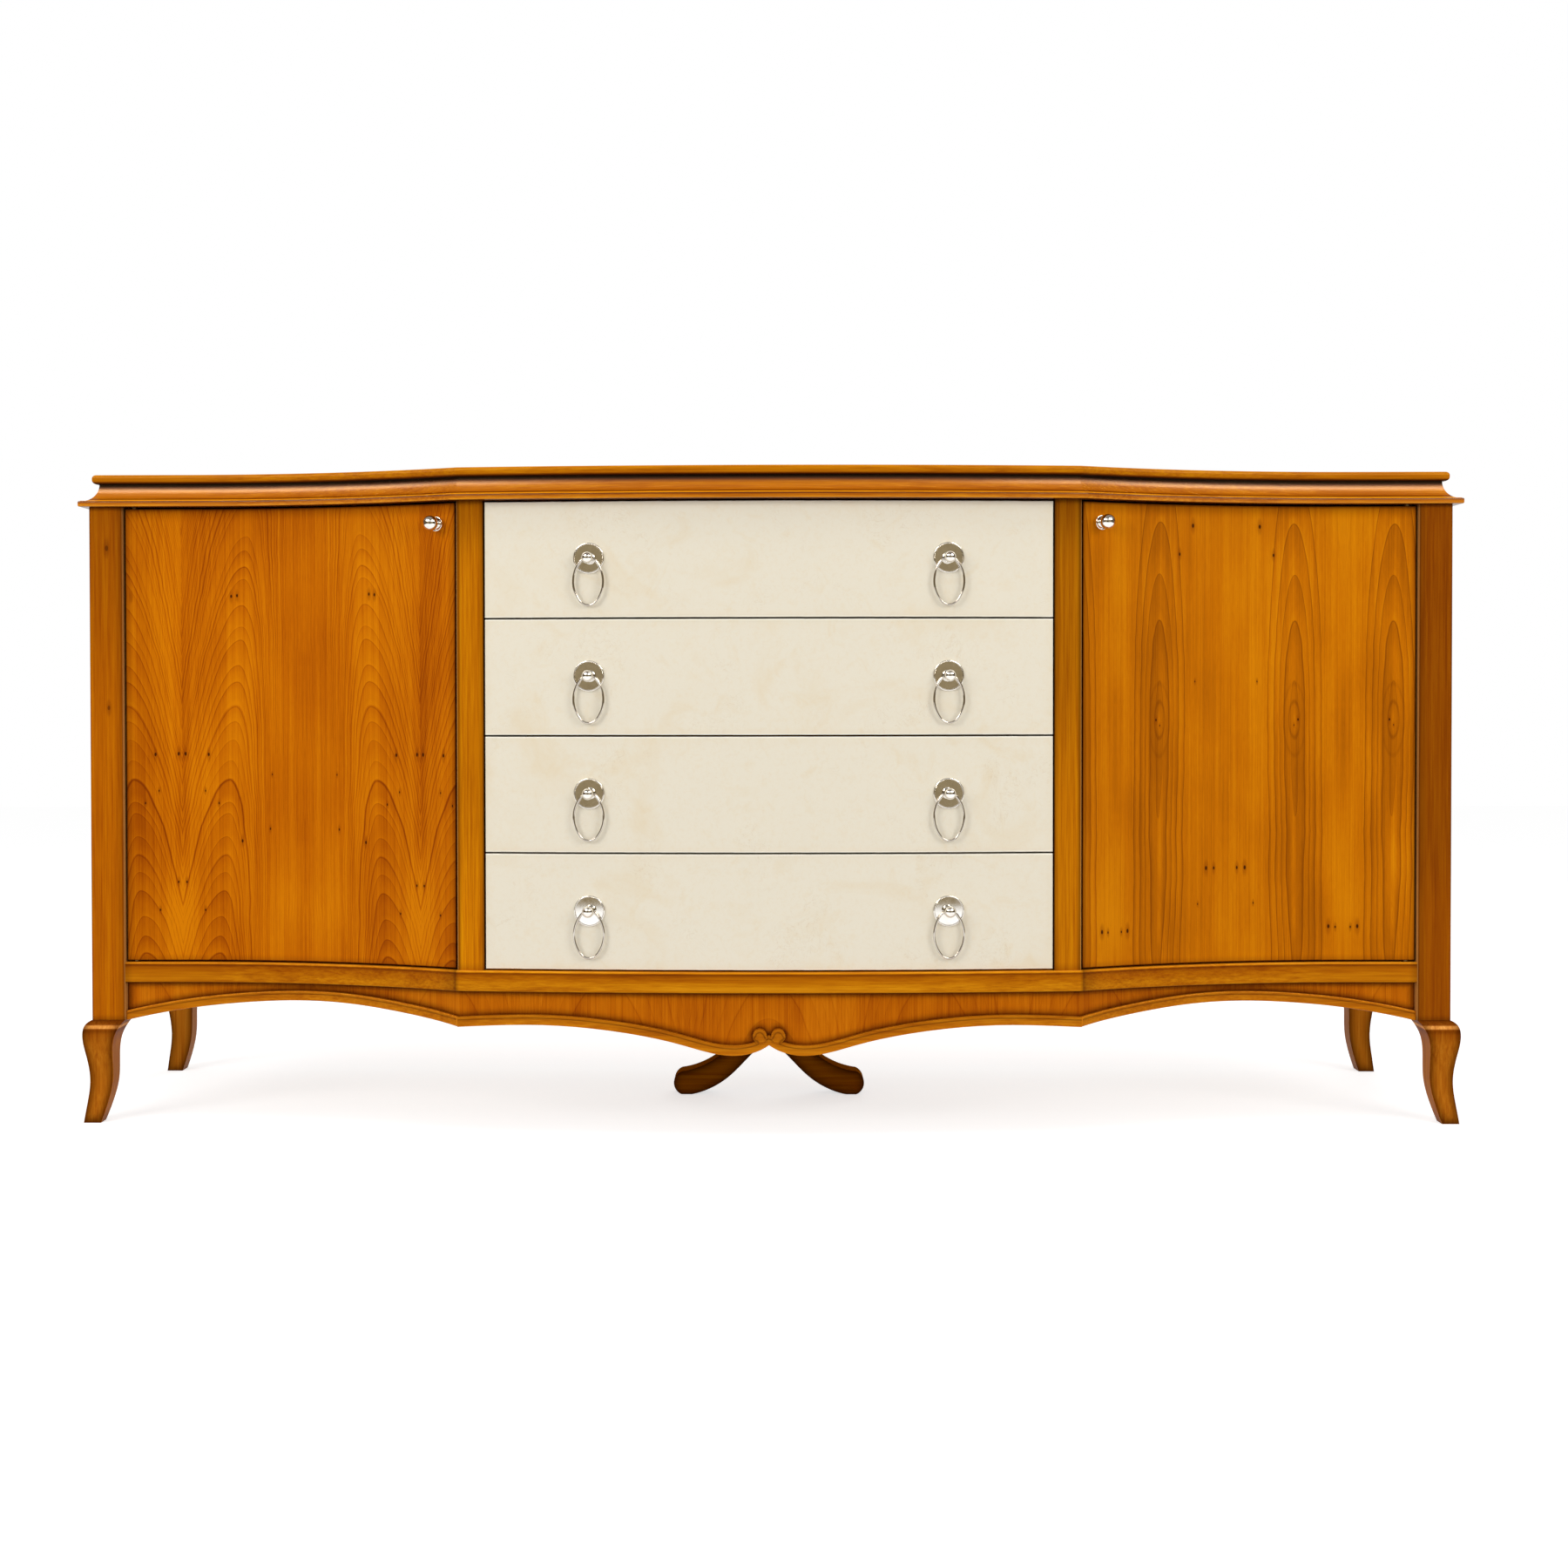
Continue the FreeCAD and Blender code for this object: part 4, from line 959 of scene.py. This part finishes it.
# runs are pairs of a point of the plan and the way out from it
def mitre():
    span = moulding["cutFront"] - moulding["cutBack"]
    return (cornerPoint(moulding["cutFront"]) - cornerPoint(moulding["cutBack"])) / span


def evenly(first, last, steps):
    return [first + (last - first) * i / steps for i in range(steps + 1)]


def bowRun():
    edge = plan["cornerX"]
    spots = [edge * (2 * i / moulding["bowSteps"] - 1) for i in range(moulding["bowSteps"] + 1)]
    run = [(frontPoint(x, 0), facing(bowTurn(x))) for x in spots]
    cut = mitre()
    run[0] = (run[0][0], Vector((-cut.x, cut.y, 0)))
    run[-1] = (run[-1][0], cut)
    return run


def hollowRun(end, endCut):
    spots = evenly(plan["cornerX"], plan["arcStart"], moulding["hollowSteps"])
    spots += evenly(plan["arcStart"], end, moulding["flatSteps"])[1:]
    run = [(frontPoint(x, 0), facing(hollowTurn(x))) for x in spots]
    run[0] = (run[0][0], mitre())
    run[-1] = (run[-1][0], Vector(endCut))
    return run


def endRun():
    corner = Vector((plan["half"], plan["shiftY"], 0))
    back = corner + Vector((0, plan["depth"], 0))
    outward = Vector((1, 0, 0))
    return [(corner, Vector((1, -1, 0))), (corner.lerp(back, 0.5), outward), (back, outward)]


def flipRun(run):
    return [(Vector((-p.x, p.y, p.z)), Vector((-o.x, o.y, o.z))) for p, o in reversed(run)]


def arcPoints(x, z, radius, start, end, steps):
    turns = [math.radians(start + (end - start) * i / steps) for i in range(steps + 1)]
    return [(x + radius * math.cos(a), z + radius * math.sin(a)) for a in turns]


def roundedFront(front, high, radius):
    lower = arcPoints(front - radius, radius, radius, -90, 0, 6)
    return lower + arcPoints(front - radius, high - radius, radius, 0, 90, 6)


# sections: how far out from the posts' face, then how high above the moulding's foot
nosing = dict(inset=0.0035, back=-0.024, height=0.0135, ease=0.0055)
rail = dict(inset=0.001, back=-0.031, height=0.0295, ease=0.002)
cornice = dict(overhang=0.0125, back=-0.034, fillet=0.008, ease=0.002, cove=0.026, coveInset=0.012,
               coveSteps=18, quirk=0.0006)


def roundedSection(s):
    return [(s["back"], 0)] + roundedFront(-s["inset"], s["height"], s["ease"]) + [(s["back"], s["height"])]


def corniceSection(s):
    lip = s["overhang"] - s["ease"]
    points = [(s["back"], 0)] + roundedFront(s["overhang"], s["fillet"], s["ease"])
    points += [(lip - s["quirk"], s["fillet"]), (lip - s["quirk"], s["fillet"] + s["quirk"])]
    for i in range(1, s["coveSteps"] + 1):
        turn = math.pi / 2 * i / s["coveSteps"]
        points.append((lip - (lip + s["coveInset"]) * math.sin(turn),
                       s["fillet"] + s["cove"] * (1 - math.cos(turn))))
    return points + [(s["back"], s["fillet"] + s["cove"])]


runTree = mouldingGroup()


def sweep(name, section, runs, lift, finish, node):
    points = [Vector((x, z, 0)) for x, z in section]
    shape = addObject("section", wireMesh("section", [points], True, section=points))
    stations = [[p for p, o in run] for run in runs]
    path = wireMesh("path", stations, False, station=[p for run in runs for p, o in run],
                    outward=[o for run in runs for p, o in run])
    mesh = solveTree(runTree, path, Section=shape, Lift=lift, Overhang=moulding["overhang"],
                     Finish=finishes[finish])
    bpy.data.objects.remove(shape)
    place(mesh, name, "carcass", "cherry", node, smooth=moulding["smooth"])


bow, ends = bowRun(), endRun()
wing, shortWing = hollowRun(plan["half"], (1, -1, 0)), hollowRun(plan["postIn"], (0, -1, 0))
leftWing = [flipRun(ends), flipRun(wing)]
sweep("topNosing", roundedSection(nosing), leftWing + [bow, wing, ends], levels["top"], "nosing", "top_nosing")
for side, runs in (("center", [bow]), ("right", [wing, ends]), ("left", leftWing)):
    sweep("cornice" + side.capitalize(), corniceSection(cornice), runs, levels["caseTop"], "cornice",
          "cornice_" + side)
for side, run, finish in (("center", bow, "rail"), ("right", shortWing, "railWing"),
                          ("left", flipRun(shortWing), "railWing")):
    sweep("baseRail" + side.capitalize(), roundedSection(rail), [run], levels["rail"], finish,
          "base_rail_" + side)
print("mouldings run")


# turned metal: profile of radius and distance from the face
def lathe(profile, steps=72):
    work = bmesh.new()
    turns = [2 * math.pi * i / steps for i in range(steps)]
    rings = []
    for radius, out in profile:
        around = turns[:1] if radius < 1e-7 else turns
        rings.append([work.verts.new((radius * math.cos(a), -out, radius * math.sin(a))) for a in around])
    for a, b in zip(rings, rings[1:]):
        for i in range(steps):
            j = (i + 1) % steps
            corners = [a[i % len(a)], a[j % len(a)], b[j % len(b)], b[i % len(b)]]
            work.faces.new(list(dict.fromkeys(corners)))
    bmesh.ops.recalc_face_normals(work, faces=work.faces)
    return toMesh(work, "turned")


pull = dict(x=0.252, rise=0.0015, rose=0.02175, plate=0.002, rim=0.0022, crest=0.003, neck=0.0042, foot=0.0075,
            groove=0.0002, ball=0.00825, ballOut=0.016, ballSteps=28, setback=0.006, smooth=40)
ring = dict(eyeOut=0.0062, wire=0.0014, thick=0.0016, width=0.045, length=0.069, crown=0.0145, steps=40,
            sides=14, smooth=60)
knob = dict(edge=0.025, drop=0.0293, ball=0.0107, ballOut=0.020, ballSteps=32, collar=0.0105,
            collarLength=0.007, neck=0.006, ease=0.0009)


def ballEnd(p):
    # from the neck round the ball to its tip
    root = math.degrees(math.asin(p["neck"] / p["ball"]))
    points = arcPoints(0, p["ballOut"], p["ball"], root - 90, 90, p["ballSteps"])
    return points[:-1] + [(0, p["ballOut"] + p["ball"])]


def pullProfile(p):
    rim, flare = p["rim"] / 2, p["foot"] - p["neck"]
    points = [(0, 0), (p["rose"], 0), (p["rose"], p["crest"] - rim)]
    points += arcPoints(p["rose"] - rim, p["crest"] - rim, rim, 0, 180, 10)[1:]
    points += [(p["rose"] - p["rim"] - p["groove"], p["plate"]), (p["foot"], p["plate"])]
    return points + arcPoints(p["foot"], p["plate"] + flare, flare, -90, -180, 6)[1:] + ballEnd(p)


def knobProfile(k):
    e = k["ease"]
    points = [(0, 0), (k["collar"], 0)] + arcPoints(k["collar"] - e, k["collarLength"] - e, e, 0, 90, 5)
    return points + [(k["neck"] + e, k["collarLength"]), (k["neck"], k["collarLength"] + e)] + ballEnd(k)


def pointsGroup():
    group, given, out = newGroup("setOnPoints", ("Piece", "Object"), ("Size", "Float"), ("Finish", "Material"))
    shape = addNode(group, "GeometryNodeObjectInfo", Object=given["Piece"])
    turn = feedInOrder(group, group.nodes.new("FunctionNodeEulerToRotation"), namedVector(group, "turn"))
    size = joinXyz(group, given["Size"], given["Size"], given["Size"])
    put = addNode(group, "GeometryNodeInstanceOnPoints", Points=given["Geometry"],
                  Instance=shape.outputs["Geometry"], Rotation=turn, Scale=size)
    return closeGroup(group, out, put.outputs[0], given["Finish"])


def wireGroup():
    group, given, out = newGroup("ringWire", ("Wire", "Float"), ("Sides", "Int"), ("Finish", "Material"))
    path = addNode(group, "GeometryNodeMeshToCurve", Mesh=given["Geometry"])
    loop = addNode(group, "GeometryNodeCurvePrimitiveCircle", Resolution=given["Sides"], Radius=given["Wire"])
    tube = addNode(group, "GeometryNodeCurveToMesh", Curve=path.outputs[0], Profile_Curve=loop.outputs[0])
    return closeGroup(group, out, tube.outputs[0], given["Finish"])


setTree, ringTree = pointsGroup(), wireGroup()


def setTurned(name, profile, spots, body, node):
    shape = addObject("turned", lathe(profile))
    points = wireMesh("spots", [[p] for p, turn in spots], False, turn=[(0, 0, turn) for p, turn in spots])
    mesh = solveTree(setTree, points, Piece=shape, Size=1.0, Finish=finishes["nickel"])
    bpy.data.objects.remove(shape)
    place(mesh, name, body, "nickel", node, smooth=pull["smooth"])


def ringPath(r):
    # an oval of four arcs, hanging from the eye
    wide, tall = r["width"] / 2 - r["wire"], r["length"] / 2 - r["wire"]
    high = tall - r["crown"]
    flank = (wide ** 2 + high ** 2 - r["crown"] ** 2) / (2 * (wide - r["crown"]))
    meet = math.atan2(high, flank - wide)
    arcs = ((0, high, r["crown"], meet, math.pi - meet),
            (flank - wide, 0, flank, math.pi - meet, math.pi + meet),
            (0, -high, r["crown"], math.pi + meet, 2 * math.pi - meet), (wide - flank, 0, flank, -meet, meet))
    sag = r["crown"] - math.sqrt(r["crown"] ** 2 - pull["neck"] ** 2)
    points = []
    for x, z, radius, start, end in arcs:
        for a in evenly(start, end, r["steps"])[:-1]:
            points.append(Vector((x + radius * math.cos(a), -r["eyeOut"],
                                  z + radius * math.sin(a) + sag / 2 - tall)))
    return points


for number in range(1, 5):
    foot = levels["fronts"] + (4 - number) * levels["pitch"]
    height = Vector((0, 0, foot + skin["faceHeight"] / 2 + pull["rise"]))
    spots = [(frontPoint(x, -pull["setback"]) + height, bowTurn(x)) for x in (-pull["x"], pull["x"])]
    body = "drawer_%d" % number
    setTurned("pulls%d" % number, pullProfile(pull), spots, body, body + "_pulls")
    for side, (spot, turn) in zip(("left", "right"), spots):
        node = "%s_ring_%s" % (body, side)
        points = [Matrix.Rotation(turn, 3, "Z") @ p + spot for p in ringPath(ring)]
        mesh = solveTree(ringTree, wireMesh("ring", [points], True), Wire=ring["thick"], Sides=ring["sides"],
                         Finish=finishes["wire"])
        place(mesh, "ring%d%s" % (number, side.capitalize()), node, "nickel", node, smooth=ring["smooth"])
for side, flip in (("left", -1), ("right", 1)):
    x = plan["cornerX"] + knob["edge"]
    spot = frontPoint(flip * x, -pull["setback"]) + Vector((0, 0, levels["frontTop"] - knob["drop"]))
    setTurned("knob" + side.capitalize(), knobProfile(knob), [(spot, flip * hollowTurn(x))], "door_" + side,
              "door_knob_" + side)
print("pulls, rings and knobs set")


# plain studio: pale floor, white surround, four soft lamps, and cards that only the polish sees
studio = dict(floor=9.0, floorTone=(0.62, 0.62, 0.62, 1), floorGlow=0.66, white=(1, 1, 1, 1), world=0.52)
cards = dict(  # glow, then four corners to a face; flag and softbox are the right one of two
    roomEnd=((0.33, 0.26, 0.15),
             (-9, -3.75, 0.004), (9, -3.75, 0.004), (9, -4.6, 0.004), (-9, -4.6, 0.004),
             (-9, -4.6, 0.004), (9, -4.6, 0.004), (9, -4.6, 2.5), (-9, -4.6, 2.5)),
    ceiling=((0.30, 0.28, 0.25), (-5, -3.2, 3.6), (5, -3.2, 3.6), (5, 3, 3.6), (-5, 3, 3.6)),
    flag=((0.13, 0.10, 0.07), (4.2, -4.5, 0.01), (4.2, 1.5, 0.01), (4.2, 1.5, 3.4), (4.2, -4.5, 3.4)),
    softbox=((14.0, 13.2, 12.2), (1.2, -2.6, 2.45), (3.5, -1.7, 2.45), (3.2, -1.4, 3.35), (1.1, -2.2, 3.35)),
    darkDoorway=((0.02, 0.017, 0.012),
                 (-0.9, -4.5, 0.1), (0.45, -4.5, 0.1), (0.45, -4.5, 1.7), (-0.9, -4.5, 1.7)),
)
lamps = dict(  # place, aim, width, height, power
    keyLamp=((-2.9, -3.2, 1.9), (0, 0, 0.55), 2.0, 1.6, 69.0),
    fillLamp=((2.9, -3.0, 1.75), (0, 0, 0.55), 2.0, 1.6, 55.0),
    topLamp=((0, -0.6, 3.4), (0, 0, 0.5), 3.0, 1.6, 28.0),
    backLamp=((0.9, 3.6, 2.0), (0, 0.3, 0.5), 2.4, 1.6, 36.0),
)


def whiteWhenSeen(tree):
    # the camera, mirrors and glass see plain white
    path = tree.nodes.new("ShaderNodeLightPath")
    mirrored = calc(tree, "max", path.outputs["Is Glossy Ray"], path.outputs["Is Transmission Ray"])
    return calc(tree, "max", path.outputs["Is Camera Ray"], mirrored)


def makeWorld():
    world = bpy.data.worlds.new("surround")
    scene.world = world
    world.use_nodes = True
    tree = world.node_tree
    tree.nodes.clear()
    strength = calc(tree, "*+", whiteWhenSeen(tree), 1.0 - studio["world"], studio["world"])
    back = addNode(tree, "ShaderNodeBackground", Color=studio["white"], Strength=strength)
    addNode(tree, "ShaderNodeOutputWorld", Surface=back.outputs[0])


def addFlat(name, corners, material):
    mesh = bpy.data.meshes.new(name)
    mesh.from_pydata(corners, [], [tuple(range(i, i + 4)) for i in range(0, len(corners), 4)])
    mesh.materials.append(material)
    return addObject(name, mesh)


def makeFloor():
    material, tree = newFinish("paleFloor")
    matt = addNode(tree, "ShaderNodeBsdfDiffuse", Color=studio["floorTone"])
    glow = addNode(tree, "ShaderNodeEmission", Color=studio["white"],
                   Strength=calc(tree, "*", whiteWhenSeen(tree), studio["floorGlow"]))
    both = feedInOrder(tree, tree.nodes.new("ShaderNodeAddShader"), matt.outputs[0], glow.outputs[0])
    addNode(tree, "ShaderNodeOutputMaterial", Surface=both)
    size = studio["floor"]
    floor = addFlat("floor", [(-size, -size, 0), (size, -size, 0), (size, size, 0), (-size, size, 0)], material)


def makeCard(name, glow, *corners):
    material, tree = newFinish(name + "Paint")
    paint = addNode(tree, "ShaderNodeEmission", Color=(*glow, 1))
    addNode(tree, "ShaderNodeOutputMaterial", Surface=paint.outputs[0])
    card = addFlat(name, corners, material)
    card.visible_camera = card.visible_diffuse = card.visible_shadow = card.visible_transmission = False


def makeLamp(name, at, aim, width, height, power):
    data = bpy.data.lights.new(name, "AREA")
    data.shape, data.size, data.size_y, data.energy = "RECTANGLE", width, height, power
    lamp = addObject(name, data)
    lamp.location = at
    lamp.rotation_mode = "QUATERNION"
    lamp.rotation_quaternion = (Vector(aim) - Vector(at)).to_track_quat("-Z", "Y")
    lamp.visible_glossy = False  # the polish sees the softbox instead


makeWorld()
makeFloor()
for name in ("roomEnd", "ceiling"):
    makeCard(name, *cards[name])
for side, flip in (("Left", -1), ("Right", 1)):
    for name in ("flag", "softbox"):
        glow, *corners = cards[name]
        makeCard(name + side, glow, *((flip * x, y, z) for x, y, z in corners))
makeCard("darkDoorway", *cards["darkDoorway"])
for name, settings in lamps.items():
    makeLamp(name, *settings)
scene.view_settings.view_transform = "Standard"
print("studio lit")
